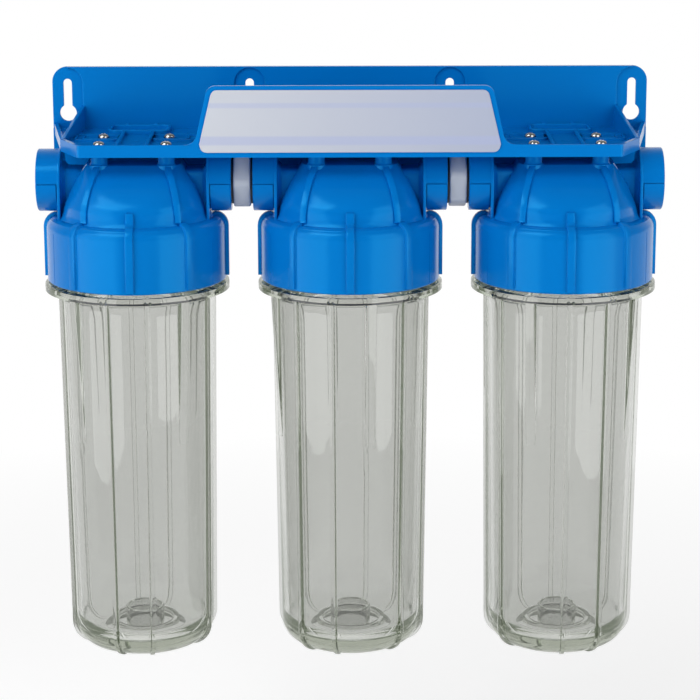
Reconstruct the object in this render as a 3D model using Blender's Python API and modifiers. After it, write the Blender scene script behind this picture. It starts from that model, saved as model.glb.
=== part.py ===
"""A whole house water filter: three clear sumps under blue heads, hung in a row from a wall bracket.

Metres, +Z up. The origin lies on the bracket's wall face, midway between its ends and level with the
ports. The wall is the plane Y = 0, and the filter stands out from it towards -Y.
"""

from math import atan2, cos, pi, radians, sin, tan, tau

import bmesh
import bpy
from mathutils import Matrix, Vector

# General
CLEARANCE = 0.0003  # left between pieces that touch
OVERRUN = 0.001  # how far a cut runs past the face that it opens
OVERLAP = 0.0015  # how far a joined shape sinks into the shape that carries it

# The row of housings
HOUSINGS = 3
WALL_GAP = 0.0034  # between the wall and the skirts' ribs

# Head: heights are above the rim of its skirt
PORT_HEIGHT = 0.06285
SKIRT_RADIUS = 0.0567
SKIRT_WALL = 0.0045
SHOULDER_HEIGHT = 0.0407
SHOULDER_DROP = 0.0072
DOME_FOOT_RADIUS = 0.0498
DECK_HEIGHT = 0.075
DECK_HALF_X = 0.0296
DECK_HALF_Y = 0.0189
DOME_WALL = 0.003
DOME_SHARES = (  # height above the shoulder, way in from foot to deck along X and Y, squareness
    (0.0, 0.0, 0.0, 2.0),
    (0.08, 0.12, 0.055, 2.1),
    (0.283, 0.282, 0.097, 2.5),
    (0.475, 0.436, 0.236, 2.6),
    (0.638, 0.579, 0.414, 2.8),
    (0.796, 0.752, 0.657, 3.3),
    (0.904, 0.886, 0.861, 4.5),
    (1.0, 1.0, 1.0, 6.0),
)
INNER_DOME_SHARES = (DOME_SHARES[2], DOME_SHARES[4], DOME_SHARES[6])
SEAL_LEDGE_HEIGHT = 0.0305
SEAL_LEDGE_RADIUS = 0.044
HEAD_STEPS = 24

# Ribs of the head
SKIRT_RIB_ANGLES = (0, 39, 90, 141, 180, 219, 270, 321)  # degrees from the front
CLIMBING_RIBS = (0, 180)  # these two run on up the dome
SKIRT_RIB_PROUD = 0.0019
SKIRT_RIB_WIDTH = 0.0048
SKIRT_RIB_CLEAR_OF_RIM = 0.0015
SKIRT_RIB_CLIMB = 0.009
DOME_RIB_WIDTH = 0.004
DOME_RIB_PROUD = 0.002
DOME_RIB_DEPTH = 0.006
DOME_RIB_FOOT_X = 0.0289
DOME_RIB_SHARES = (0.06, 0.28, 0.55, 0.8, 0.985)  # heights up the dome

# Ports
PORT_RADIUS = 0.0195
PORT_REACH = 0.061  # from the housing's axis to the port's face
PORT_FACE_GAP = 0.0135  # between the ports of neighbouring heads
HEAD_PITCH = 2 * PORT_REACH + PORT_FACE_GAP
ROOT_PLATE_REACH = 0.0475
ROOT_PLATE_THICKNESS = 0.0016
ROOT_PLATE_RADIUS = 0.0199
NECK_REACH = 0.042
NECK_HALF_WIDTH = 0.012
NECK_RISE = 0.0084
PORT_THREAD_RADIUS = 0.0135
PORT_THREAD_DEPTH = 0.013
PASSAGE_RADIUS = 0.0066
DUCT_WALL = 0.0028
NOZZLE_RADIUS = 0.0125
NOZZLE_WALL = 0.0033
NOZZLE_END_HEIGHT = 0.02
PORT_STEPS = 16
PIPE_STEPS = 10

# Screws and the bosses that take them
SCREW_X = 0.0209
SCREW_Y = 0.0159
BOSS_RADIUS = 0.0052
SCREW_RADIUS = 0.00195
SCREW_HEAD_RADIUS = 0.00375
SCREW_HEAD_HEIGHT = 0.0028
SCREW_LENGTH = 0.0105
SCREW_HOLE_SPARE = 0.0006
BOSS_STEPS = 8
SCREW_STEPS = 8
HOLE_STEPS = 6

# Bracket: rises are above the shelf's underside, and overhangs run out from the end housings' axes
ROW_HALF = HEAD_PITCH * (HOUSINGS - 1) / 2
AXIS_TO_WALL = SKIRT_RADIUS + SKIRT_RIB_PROUD + WALL_GAP
FRONT_LIP_DROP = 0.0017  # how far the lip hangs below the shelf
SIDE_LIP_DROP = 0.0007
LIP_CLEAR_OF_PORT = 0.00055
SHELF_HEIGHT = ROOT_PLATE_RADIUS + LIP_CLEAR_OF_PORT + SIDE_LIP_DROP
SHELF_THICKNESS = 0.0025
LIP_RISE = 0.006
LIP_THICKNESS = 0.0025
FRONT_OVERHANG = 0.036
FRONT_END_OVERHANG = 0.0323
ELBOW_FORWARD = 0.009
ELBOW_OVERHANG = 0.0458
PLATE_THICKNESS = 0.004
PLATE_RISE = 0.04275
PLATE_CLEAR_OF_RIB = 0.00035
KEYHOLE_OVERHANG = 0.0479
KEYHOLE_MIDDLE_SHARE = 0.48  # of the pitch, out from the middle
KEYHOLE_RISE = 0.0126
KEYHOLE_RADIUS = 0.00535
KEYHOLE_SLOT_WIDTH = 0.0054
KEYHOLE_SLOT_RISE = 0.0348
PAD_HALF_WIDTH = 0.00995
PAD_RECESS = 0.0015
PAD_RIM = 0.0008
GUSSET_OVERHANG = 0.0378
GUSSET_RISE = 0.0177
GUSSET_THICKNESS = 0.0024

# Relief on the shelf above each head
CROSS_RIB_X = 0.0093
CROSS_RIB_WIDTH = 0.0026
CROSS_RIB_HEIGHT = 0.0018
TRACK_HALF_X = 0.02
TRACK_FRONT = 0.0316  # depths from the wall
TRACK_BACK = 0.0058
TRACK_CORNER = 0.006
TRACK_WALL = 0.0018

# Label panel and label
PANEL_RISE = 0.0426
PANEL_TOP_HALF = 0.0873
PANEL_FOOT_HALF = 0.0958
PANEL_CORNER = 0.006
PANEL_FILLET = 0.008
LABEL_RISE = 0.04
LABEL_FOOT_RISE = 0.0015
LABEL_TOP_HALF = 0.0846
LABEL_SIDE_HALF = 0.0927
LABEL_SIDE_RISE = 0.00655
LABEL_FOOT_HALF = 0.0914
LABEL_CORNER = 0.004
LABEL_THICKNESS = 0.0005

# Nipples between the heads, with a gasket on each side of the collar
NIPPLE_COLLAR_RADIUS = 0.01905
NIPPLE_COLLAR_CHAMFER = 0.0012
NIPPLE_BORE_RADIUS = 0.0085
NIPPLE_THREAD_LENGTH = 0.012
NIPPLE_TURNS = (4.3, 19.7)  # degrees that each hexagon is turned by
GASKET_THICKNESS = 0.0009
GASKET_RADIUS = 0.0157
GASKET_STEPS = 16

# Sump: heights are above the rim of the head's skirt, so most of them are below it
SUMP_TURNS = (-19, -43.5, 0.5)  # degrees from the front to each sump's first rib
SUMP_RIB_ANGLES = (0, 30, 87, 123, 180, 210, 267, 303)  # degrees on from the first rib
LUG_ANGLES = (58.5, 151.5, 238.5, 331.5)  # lugs for the wrench, between the ribs
FLANGE_TOP = -0.0004
FLANGE_PROUD = 0.0018  # how far the flange stands out from the skirt
FLANGE_RADIUS = SKIRT_RADIUS + FLANGE_PROUD
FLANGE_BEVEL_WIDTH = 0.0035
FLANGE_BEVEL_DROP = 0.0019
FLANGE_BOTTOM = -0.00625
FLANGE_FILLET = 0.003
BODY_TOP = -0.013
BODY_TOP_RADIUS = 0.048
BODY_FOOT = -0.227
BODY_FOOT_RADIUS = 0.0455
SUMP_WALL = 0.0033
SUMP_FOOT_DROP = 0.0155  # from the body's foot to the ring that the sump stands on
FOOT_OUTER_RADIUS = 0.031
FOOT_INNER_RADIUS = 0.027
SUMP_FLOOR_DROP = 0.0054  # from the body's foot to the floor inside
FLOOR_RADIUS = 0.03
FLOOR_THICKNESS = 0.005
COLLAR_RADIUS = 0.0126
COLLAR_WALL = 0.002
COLLAR_RISE = 0.0114
SUMP_RIB_PROUD = 0.0025
SUMP_RIB_WIDTH = 0.003
SUMP_RIB_TOE_RADIUS = 0.033
LUG_PROUD = 0.0038  # at the top, from where it slopes back
LUG_WIDTH = 0.0068
LUG_FOOT = -0.136  # where it has sunk into the wall
SUMP_STEPS = 24

# Seal in the top of the sump's neck
SEAL_SECTION = 0.0032
SEAL_RADIUS = 0.0483
SEAL_GROOVE_DEPTH = 0.0028
SEAL_STEPS = 20
SEAL_SECTION_STEPS = 6

# Levels and places that follow from the sizes above, in the frame of the whole filter
RIM = -PORT_HEIGHT
SHELF_TOP = SHELF_HEIGHT + SHELF_THICKNESS
LIP_TOP = SHELF_HEIGHT + LIP_RISE
PLATE_TOP = SHELF_HEIGHT + PLATE_RISE
PLATE_BOTTOM = RIM + SHOULDER_HEIGHT + SKIRT_RIB_CLIMB + PLATE_CLEAR_OF_RIB
SHELF_DEPTH = AXIS_TO_WALL + FRONT_OVERHANG
SHELF_FRONT_HALF = ROW_HALF + FRONT_END_OVERHANG
SHELF_ELBOW_HALF = ROW_HALF + ELBOW_OVERHANG
SHELF_ELBOW_DEPTH = AXIS_TO_WALL + ELBOW_FORWARD
KEYHOLE_END_X = ROW_HALF + KEYHOLE_OVERHANG
KEYHOLE_MIDDLE_X = HEAD_PITCH * KEYHOLE_MIDDLE_SHARE
KEYHOLE_HEIGHT = SHELF_HEIGHT + KEYHOLE_RISE
KEYHOLE_SLOT_TOP = SHELF_HEIGHT + KEYHOLE_SLOT_RISE
GUSSET_X = ROW_HALF + GUSSET_OVERHANG
GUSSET_TOP = SHELF_HEIGHT + GUSSET_RISE
PANEL_TOP = SHELF_HEIGHT + PANEL_RISE
LABEL_TOP = SHELF_HEIGHT + LABEL_RISE
LABEL_BOTTOM = SHELF_HEIGHT + LABEL_FOOT_RISE
LABEL_SIDE_HEIGHT = SHELF_HEIGHT + LABEL_SIDE_RISE
SEAL_CENTRE = RIM + SEAL_LEDGE_HEIGHT - CLEARANCE - SEAL_SECTION / 2
SEAL_GROOVE_FLOOR = SEAL_CENTRE - SEAL_SECTION / 2 - CLEARANCE
NECK_TOP = SEAL_GROOVE_FLOOR + SEAL_GROOVE_DEPTH
NECK_RADIUS = SKIRT_RADIUS - SKIRT_WALL - CLEARANCE
NIPPLE_THREAD_RADIUS = PORT_THREAD_RADIUS - CLEARANCE
SUMP_FOOT = BODY_FOOT - SUMP_FOOT_DROP
SUMP_FLOOR = BODY_FOOT - SUMP_FLOOR_DROP
COLLAR_TOP = SUMP_FLOOR + COLLAR_RISE
AXES = [(number - (HOUSINGS - 1) / 2) * HEAD_PITCH for number in range(HOUSINGS)]
SCREW_PLACES = [(x * SCREW_X, y * SCREW_Y) for x in (-1, 1) for y in (-1, 1)]


def clear_scene():
    for obj in list(bpy.data.objects):
        bpy.data.objects.remove(obj, do_unlink=True)


def new_collection(name):
    collection = bpy.data.collections.new(name)
    bpy.context.scene.collection.children.link(collection)
    return collection


def make_material(name, colour, roughness, metallic=0.0, transmission=0.0):
    material = bpy.data.materials.new(name)
    material.use_nodes = True
    shader = material.node_tree.nodes["Principled BSDF"]
    shader.inputs["Base Color"].default_value = (*colour, 1.0)
    shader.inputs["Roughness"].default_value = roughness
    shader.inputs["Metallic"].default_value = metallic
    shader.inputs["Transmission Weight"].default_value = transmission
    material.diffuse_color = (*colour, 1.0)
    return material


def helper(name, mesh):
    """A shape that is only cut from, or joined to, a piece of the filter."""
    obj = bpy.data.objects.new(name, mesh)
    CUTTERS.objects.link(obj)
    obj.hide_render = True
    obj.display_type = "WIRE"
    return obj


def round_hole(radius, steps):
    """The corner radius of a hole whose flats clear this radius."""
    return radius / cos(pi / steps)


def mesh_from(name, bm):
    bmesh.ops.recalc_face_normals(bm, faces=bm.faces)
    mesh = bpy.data.meshes.new(name)
    bm.to_mesh(mesh)
    bm.free()
    return mesh


def lathe(name, profile, steps, closed=False):
    """A shape turned about Z, from a profile (radius, height) that runs down its outer side."""
    mesh = bpy.data.meshes.new(name)
    points = [(radius, 0.0, height) for radius, height in profile]
    edges = [(i, i + 1) for i in range(len(points) - 1)]
    if closed:
        edges.append((len(points) - 1, 0))
    mesh.from_pydata(points, edges, [])
    obj = helper(name, mesh)
    screw = obj.modifiers.new("Screw", "SCREW")
    screw.steps = steps
    screw.render_steps = steps
    screw.use_merge_vertices = True
    screw.merge_threshold = CLEARANCE / 10
    return obj


def drum(name, radius, bottom, top, steps):
    """A plain upright cylinder."""
    return lathe(name, ((0.0, top), (radius, top), (radius, bottom), (0.0, bottom)), steps)


def loft(name, rings):
    """A closed shape through rings that have as many points each, with flat ends."""
    bm = bmesh.new()
    rows = [[bm.verts.new(point) for point in ring] for ring in rings]
    for lower, upper in zip(rows, rows[1:]):
        for i in range(len(lower)):
            bm.faces.new((lower[i - 1], lower[i], upper[i], upper[i - 1]))
    bm.faces.new(rows[0])
    bm.faces.new(rows[-1])
    bmesh.ops.connect_verts_nonplanar(bm, angle_limit=radians(0.05), faces=bm.faces)
    return helper(name, mesh_from(name, bm))


def flat_shape(name, outlines, thickness):
    """A flat plate on the XY plane with half its thickness on each side of it."""
    curve = bpy.data.curves.new(name, "CURVE")
    curve.dimensions = "2D"
    curve.fill_mode = "BOTH"
    curve.extrude = thickness / 2
    for outline in outlines:
        spline = curve.splines.new("POLY")
        spline.points.add(len(outline) - 1)
        for point, place in zip(spline.points, outline):
            point.co = (place[0], place[1], 0.0, 1.0)
        spline.use_cyclic_u = True
    drawn = helper(name, curve)
    mesh = settled_mesh(drawn)
    bpy.data.objects.remove(drawn)
    bm = bmesh.new()
    bm.from_mesh(mesh)
    bmesh.ops.remove_doubles(bm, verts=bm.verts, dist=CLEARANCE / 10)
    return helper(name, mesh_from(name, bm))


def settled_mesh(obj):
    """The object's mesh with its modifiers applied."""
    bpy.context.view_layer.update()
    graph = bpy.context.evaluated_depsgraph_get()
    return bpy.data.meshes.new_from_object(obj.evaluated_get(graph))


def shaped(obj, matrix):
    """Moves the mesh itself, so that the object stays at the origin."""
    obj.data.transform(matrix)
    return obj


def upright(obj, depth=0.0):
    """Stands a flat shape up, so that its second axis points up and it lies across Y at this depth."""
    return shaped(obj, Matrix.Translation((0.0, depth, 0.0)) @ Matrix.Rotation(pi / 2, 4, "X"))


def turned(obj, degrees):
    """Turns a shape that reaches along +X to this bearing, counted from the front towards +X."""
    return shaped(obj, Matrix.Rotation(radians(degrees - 90), 4, "Z"))


def along_x(obj):
    """Lays a turned shape down, so that its axis lies along X."""
    obj.matrix_world = Matrix.Rotation(pi / 2, 4, "Y")
    return obj


def gathered(name, objects):
    """One helper that holds several shapes that don't touch."""
    bm = bmesh.new()
    for obj in objects:
        mesh = settled_mesh(obj)
        mesh.transform(obj.matrix_world)
        bm.from_mesh(mesh)
        bpy.data.objects.remove(obj)
    mesh = bpy.data.meshes.new(name)
    bm.to_mesh(mesh)
    bm.free()
    return helper(name, mesh)


def combine(base, operation, *others):
    for other in others:
        step = base.modifiers.new(other.name, "BOOLEAN")
        step.operation = operation
        step.solver = "EXACT"
        step.object = other
    return base


def piece(name, mesh, material, place=(0.0, 0.0, 0.0), turn=0.0):
    """A finished piece of the filter, shaded smooth where it is round."""
    if not mesh.materials:
        mesh.materials.append(material)
        mesh.shade_smooth()
        mesh.set_sharp_from_angle(angle=radians(32))
    obj = bpy.data.objects.new(name, mesh)
    obj.location = place
    obj.rotation_euler.z = turn
    PARTS.objects.link(obj)
    return obj


def rounded(corners, arc_steps=3):
    """An outline through corners (x, y, radius), with an arc at each corner that has a radius."""
    outline = []
    for i, (x, y, radius) in enumerate(corners):
        here = Vector((x, y))
        if not radius:
            outline.append(here)
            continue
        back = (Vector(corners[i - 1][:2]) - here).normalized()
        ahead = (Vector(corners[(i + 1) % len(corners)][:2]) - here).normalized()
        half = back.angle(ahead) / 2
        centre = here + (back + ahead).normalized() * radius / sin(half)
        start = here + back * radius / tan(half) - centre
        end = here + ahead * radius / tan(half) - centre
        first = atan2(start.y, start.x)
        sweep = (atan2(end.y, end.x) - first + pi) % tau - pi
        for step in range(arc_steps + 1):
            angle = first + sweep * step / arc_steps
            outline.append(centre + Vector((cos(angle), sin(angle))) * radius)
    return outline


def arc(centre_x, centre_y, radius, first, last, steps):
    """Points on an arc, between two angles in degrees."""
    points = []
    for step in range(steps + 1):
        angle = radians(first + (last - first) * step / steps)
        points.append((centre_x + radius * cos(angle), centre_y + radius * sin(angle)))
    return points


def section(half_x, half_y, squareness, height, steps):
    """A level ring that is round at squareness 2 and nearer a rectangle above it."""
    ring = []
    for step in range(steps):
        angle = tau * (step + 0.5) / steps
        reach = (abs(cos(angle) / half_x) ** squareness + abs(sin(angle) / half_y) ** squareness) ** (
            -1 / squareness
        )
        ring.append((reach * cos(angle), reach * sin(angle), height))
    return ring


def dome_sizes(row):
    """Half widths, squareness and height of the dome, from a row of its table."""
    up, in_x, in_y, squareness = row
    half_x = DOME_FOOT_RADIUS + (DECK_HALF_X - DOME_FOOT_RADIUS) * in_x
    half_y = DOME_FOOT_RADIUS + (DECK_HALF_Y - DOME_FOOT_RADIUS) * in_y
    return half_x, half_y, squareness, RIM + SHOULDER_HEIGHT + (DECK_HEIGHT - SHOULDER_HEIGHT) * up


def dome_at(share):
    """The dome's sizes at a share of its height, read between the rows of its table."""
    for lower, upper in zip(DOME_SHARES, DOME_SHARES[1:]):
        if share <= upper[0]:
            way = (share - lower[0]) / (upper[0] - lower[0])
            return dome_sizes([a + (b - a) * way for a, b in zip(lower, upper)])
    return dome_sizes(DOME_SHARES[-1])


def shoulder_arc(proud, steps):
    """(radius, height) points round the skirt's shoulder, from the skirt up to the dome's foot."""
    across = SKIRT_RADIUS - DOME_FOOT_RADIUS
    points = []
    for step in range(steps + 1):
        angle = pi / 2 * step / steps
        radius = DOME_FOOT_RADIUS + (across + proud) * cos(angle)
        height = RIM + SHOULDER_HEIGHT - SHOULDER_DROP + (SHOULDER_DROP + proud) * sin(angle)
        points.append((radius, height))
    return points


def head_body():
    rings = [section(SKIRT_RADIUS, SKIRT_RADIUS, 2.0, RIM, HEAD_STEPS)]
    for radius, height in shoulder_arc(0.0, 3)[:-1]:
        rings.append(section(radius, radius, 2.0, height, HEAD_STEPS))
    for row in DOME_SHARES:
        rings.append(section(*dome_sizes(row), HEAD_STEPS))
    return loft("head_body", rings)


def head_cavity():
    bore = round_hole(SKIRT_RADIUS - SKIRT_WALL, HEAD_STEPS)
    ledge = RIM + SEAL_LEDGE_HEIGHT
    rings = [
        section(bore, bore, 2.0, RIM - OVERRUN, HEAD_STEPS),
        section(bore, bore, 2.0, ledge, HEAD_STEPS),
        section(SEAL_LEDGE_RADIUS, SEAL_LEDGE_RADIUS, 2.0, ledge, HEAD_STEPS),
    ]
    for row in INNER_DOME_SHARES:
        half_x, half_y, squareness, height = dome_sizes(row)
        inner = (half_x - DOME_WALL, half_y - DOME_WALL, squareness, height - DOME_WALL)
        rings.append(section(*inner, HEAD_STEPS))
    return loft("head_cavity", rings)


def skirt_rib(angle):
    """A rib up the skirt and over its shoulder, and on up the dome where it climbs."""
    outer = [(SKIRT_RADIUS + SKIRT_RIB_PROUD, RIM + SKIRT_RIB_CLEAR_OF_RIM)]
    outer += shoulder_arc(SKIRT_RIB_PROUD, 2)
    top = RIM + SHOULDER_HEIGHT + SKIRT_RIB_PROUD
    if angle in CLIMBING_RIBS:
        top += SKIRT_RIB_CLIMB - SKIRT_RIB_PROUD
        outer[-1] = (DOME_FOOT_RADIUS + SKIRT_RIB_PROUD, outer[-1][1])
        outer.append((DOME_FOOT_RADIUS, top))
    root = SKIRT_RADIUS - OVERLAP
    inner = [
        (DOME_FOOT_RADIUS - DOME_RIB_WIDTH, top),
        (DOME_FOOT_RADIUS - DOME_RIB_WIDTH, RIM + SHOULDER_HEIGHT - SHOULDER_DROP),
        (root, RIM + SHOULDER_HEIGHT - 2 * SHOULDER_DROP),
        (root, RIM + SKIRT_RIB_CLEAR_OF_RIM),
    ]
    shape = flat_shape("skirt_rib", [outer + inner], SKIRT_RIB_WIDTH)
    return turned(upright(shape), angle)


def dome_rib(side, face):
    """A rib down the dome from a screw boss to the shoulder, on one side (X) and face (Y)."""
    rings = []
    foot_level = dome_at(DOME_RIB_SHARES[0])[3]
    for share in DOME_RIB_SHARES:
        half_x, half_y, squareness, height = dome_at(share)
        way = (height - foot_level) / (dome_at(1.0)[3] - foot_level)
        middle = DOME_RIB_FOOT_X + (SCREW_X - DOME_RIB_FOOT_X) * way**2
        surface = half_y * (1 - (middle / half_x) ** squareness) ** (1 / squareness)
        outer = surface + DOME_RIB_PROUD * 1.25
        root = outer - DOME_RIB_DEPTH
        lower = height - DOME_RIB_DEPTH * 0.5
        left, right = middle - DOME_RIB_WIDTH / 2, middle + DOME_RIB_WIDTH / 2
        rings.append(
            [
                (side * left, face * root, lower),
                (side * right, face * root, lower),
                (side * right, face * outer, height),
                (side * left, face * outer, height),
            ]
        )
    return loft("dome_rib", rings)


def arch_ring(reach, half_width, rise, squareness, foot):
    """An upright ring across X: an arch over the port's axis on straight sides down to a foot."""
    ring = [(reach, half_width, foot)]
    arch_steps = PORT_STEPS // 2
    for step in range(arch_steps + 1):
        angle = pi * step / arch_steps
        across = (abs(cos(angle) / half_width) ** squareness + abs(sin(angle) / rise) ** squareness) ** (
            -1 / squareness
        )
        ring.append((reach, across * cos(angle), across * sin(angle)))
    ring.append((reach, -half_width, foot))
    return ring


def port_root(side):
    """The neck between dome and port, which widens into the plate that the port stands on."""
    foot = RIM + SHOULDER_HEIGHT - SHOULDER_DROP / 2
    plate_back = ROOT_PLATE_REACH - ROOT_PLATE_THICKNESS
    rings = [
        arch_ring(side * DECK_HALF_X, NECK_HALF_WIDTH, NECK_RISE, 6.0, foot),
        arch_ring(side * NECK_REACH, NECK_HALF_WIDTH, NECK_RISE, 6.0, foot),
        arch_ring(side * plate_back, ROOT_PLATE_RADIUS, ROOT_PLATE_RADIUS, 2.0, foot),
        arch_ring(side * ROOT_PLATE_REACH, ROOT_PLATE_RADIUS, ROOT_PLATE_RADIUS, 2.0, foot),
    ]
    return loft("port_root", rings)


def lying_drum(name, radius, start, end, steps):
    """A plain cylinder along X, on the port's axis."""
    return along_x(drum(name, radius, min(start, end), max(start, end), steps))


def head_mesh():
    base = head_body()
    ribs = [skirt_rib(angle) for angle in SKIRT_RIB_ANGLES]
    ribs += [dome_rib(side, face) for side in (-1, 1) for face in (-1, 1)]
    combine(base, "UNION", *ribs)
    port_start = ROOT_PLATE_REACH - ROOT_PLATE_THICKNESS / 2
    for side in (-1, 1):
        port = lying_drum("port", PORT_RADIUS, side * port_start, side * PORT_REACH, PORT_STEPS)
        combine(base, "UNION", port_root(side), port)
    boss_foot = RIM + DECK_HEIGHT - DOME_WALL * 3
    for x, y in SCREW_PLACES:
        boss = drum("boss", BOSS_RADIUS, boss_foot, SHELF_HEIGHT - CLEARANCE, BOSS_STEPS)
        boss.location = (x, y, 0.0)
        combine(base, "UNION", boss)
    combine(base, "DIFFERENCE", head_cavity())
    deck_inside = RIM + DECK_HEIGHT - DOME_WALL
    nozzle = drum("nozzle", NOZZLE_RADIUS, RIM + NOZZLE_END_HEIGHT, deck_inside + OVERLAP, PIPE_STEPS)
    duct = lying_drum("duct", PASSAGE_RADIUS + DUCT_WALL, 0.0, NECK_REACH - OVERLAP, PIPE_STEPS)
    combine(base, "UNION", nozzle, duct)
    nozzle_bore = drum(
        "nozzle_bore",
        NOZZLE_RADIUS - NOZZLE_WALL,
        RIM + NOZZLE_END_HEIGHT - OVERRUN,
        PASSAGE_RADIUS / 4,
        PIPE_STEPS,
    )
    passage_end = PORT_REACH - PORT_THREAD_DEPTH + OVERRUN
    outlet = lying_drum("outlet_passage", PASSAGE_RADIUS, -PASSAGE_RADIUS / 3, passage_end, PIPE_STEPS)
    inlet = lying_drum("inlet_passage", PASSAGE_RADIUS, -passage_end, -DECK_HALF_X, PIPE_STEPS)
    combine(base, "DIFFERENCE", nozzle_bore, outlet, inlet)
    for side in (-1, 1):
        start = side * (PORT_REACH - PORT_THREAD_DEPTH)
        end = side * (PORT_REACH + OVERRUN)
        thread_radius = round_hole(PORT_THREAD_RADIUS, PORT_STEPS)
        combine(base, "DIFFERENCE", lying_drum("port_thread", thread_radius, start, end, PORT_STEPS))
    holes = []
    hole_radius = round_hole(SCREW_RADIUS + CLEARANCE, HOLE_STEPS)
    for x, y in SCREW_PLACES:
        bottom = SHELF_TOP + CLEARANCE - SCREW_LENGTH - SCREW_HOLE_SPARE
        hole = drum("screw_hole", hole_radius, bottom, SHELF_HEIGHT, HOLE_STEPS)
        hole.matrix_world = Matrix.Translation((x, y, 0.0))
        holes.append(hole)
    combine(base, "DIFFERENCE", gathered("screw_holes", holes))
    return settled_mesh(base)


def quarter(start, end, steps, skip_first=False):
    """Points on a quarter ellipse that leaves its start straight down and meets its end level."""
    points = []
    for step in range(1 if skip_first else 0, steps + 1):
        angle = pi / 2 * step / steps
        radius = end[0] + (start[0] - end[0]) * cos(angle)
        height = start[1] + (end[1] - start[1]) * sin(angle)
        points.append((radius, height))
    return points


def sump_mesh():
    """One sump in its own frame, whose origin is on its axis at the level of the head's rim."""
    neck_top = NECK_TOP - RIM
    groove_floor = SEAL_GROOVE_FLOOR - RIM
    groove_inner = (SEAL_RADIUS - SEAL_SECTION / 2 - CLEARANCE) * cos(pi / SEAL_STEPS)
    groove_outer = round_hole(SEAL_RADIUS + SEAL_SECTION / 2 + CLEARANCE, SUMP_STEPS)
    bore_top = BODY_TOP_RADIUS - SUMP_WALL
    bore_foot = BODY_FOOT_RADIUS - SUMP_WALL
    floor_round = bore_foot - FLOOR_RADIUS
    inner_round = quarter((bore_foot, SUMP_FLOOR + floor_round), (FLOOR_RADIUS, SUMP_FLOOR), 2)
    profile = [
        (0.0, SUMP_FLOOR),
        (COLLAR_RADIUS - COLLAR_WALL, SUMP_FLOOR),
        (COLLAR_RADIUS - COLLAR_WALL, COLLAR_TOP),
        (COLLAR_RADIUS, COLLAR_TOP),
        (COLLAR_RADIUS, SUMP_FLOOR),
        *reversed(inner_round),
        (bore_top, BODY_TOP),
        (bore_top, neck_top),
        (groove_inner, neck_top),
        (groove_inner, groove_floor),
        (groove_outer, groove_floor),
        (groove_outer, neck_top),
        (NECK_RADIUS, neck_top),
        (NECK_RADIUS, FLANGE_TOP),
        (FLANGE_RADIUS - FLANGE_BEVEL_WIDTH, FLANGE_TOP),
        (FLANGE_RADIUS, FLANGE_TOP - FLANGE_BEVEL_DROP),
        (FLANGE_RADIUS, FLANGE_BOTTOM),
        (BODY_TOP_RADIUS + FLANGE_FILLET, FLANGE_BOTTOM),
        (BODY_TOP_RADIUS, BODY_TOP),
        *quarter((BODY_FOOT_RADIUS, BODY_FOOT), (FOOT_OUTER_RADIUS, SUMP_FOOT), 3),
        (FOOT_INNER_RADIUS, SUMP_FOOT),
        (FOOT_INNER_RADIUS, SUMP_FLOOR - FLOOR_THICKNESS),
        (0.0, SUMP_FLOOR - FLOOR_THICKNESS),
    ]
    base = lathe("sump_body", profile, SUMP_STEPS)
    way = (LUG_FOOT - BODY_TOP) / (BODY_FOOT - BODY_TOP)
    sunk = BODY_TOP_RADIUS + (BODY_FOOT_RADIUS - BODY_TOP_RADIUS) * way - OVERLAP
    lug_outline = [
        (BODY_TOP_RADIUS - OVERLAP, FLANGE_BOTTOM + OVERLAP),
        (BODY_TOP_RADIUS + LUG_PROUD, FLANGE_BOTTOM + OVERLAP),
        (BODY_TOP_RADIUS + LUG_PROUD, BODY_TOP),
        (sunk, LUG_FOOT),
    ]
    for angle in LUG_ANGLES:
        lug = flat_shape("lug", [lug_outline], LUG_WIDTH)
        combine(base, "UNION", turned(upright(lug), angle))
    outer_foot = (BODY_FOOT_RADIUS + SUMP_RIB_PROUD, BODY_FOOT)
    inner_foot = (BODY_FOOT_RADIUS - OVERLAP, BODY_FOOT)
    toe = (SUMP_RIB_TOE_RADIUS, SUMP_FOOT)
    outline = [
        (BODY_TOP_RADIUS - OVERLAP, FLANGE_BOTTOM + OVERLAP),
        (BODY_TOP_RADIUS + SUMP_RIB_PROUD, FLANGE_BOTTOM + OVERLAP),
        (BODY_TOP_RADIUS + SUMP_RIB_PROUD, BODY_TOP),
        *quarter(outer_foot, (toe[0], toe[1] - CLEARANCE), 3),
        *reversed(quarter(inner_foot, (toe[0], toe[1] + OVERLAP), 2)),
    ]
    for angle in SUMP_RIB_ANGLES:
        rib = flat_shape("sump_rib", [outline], SUMP_RIB_WIDTH)
        combine(base, "UNION", turned(upright(rib), angle))
    return settled_mesh(base)


def seal_mesh():
    profile = arc(SEAL_RADIUS, SEAL_CENTRE - RIM, SEAL_SECTION / 2, 90, -270, SEAL_SECTION_STEPS)[:-1]
    return settled_mesh(lathe("seal_ring", profile, SEAL_STEPS, closed=True))


def inset(outline, distance):
    """A convex outline that runs clockwise, moved in by the same distance on every side."""
    moved = []
    for i, here in enumerate(outline):
        here = Vector(here)
        back = (here - Vector(outline[i - 1])).normalized()
        ahead = (Vector(outline[(i + 1) % len(outline)]) - here).normalized()
        half = back.angle(ahead) / 2
        inward = (Vector((back.y, -back.x)) + Vector((ahead.y, -ahead.x))).normalized()
        moved.append(here + inward * distance / cos(half))
    return moved


def slab(name, outline, bottom, top):
    """A level plate between two heights."""
    shape = flat_shape(name, [outline], top - bottom)
    return shaped(shape, Matrix.Translation((0.0, 0.0, (top + bottom) / 2)))


def panel(name, outlines, front, back):
    """An upright plate across Y between two depths from the wall."""
    return upright(flat_shape(name, outlines, front - back), -(front + back) / 2)


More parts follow.
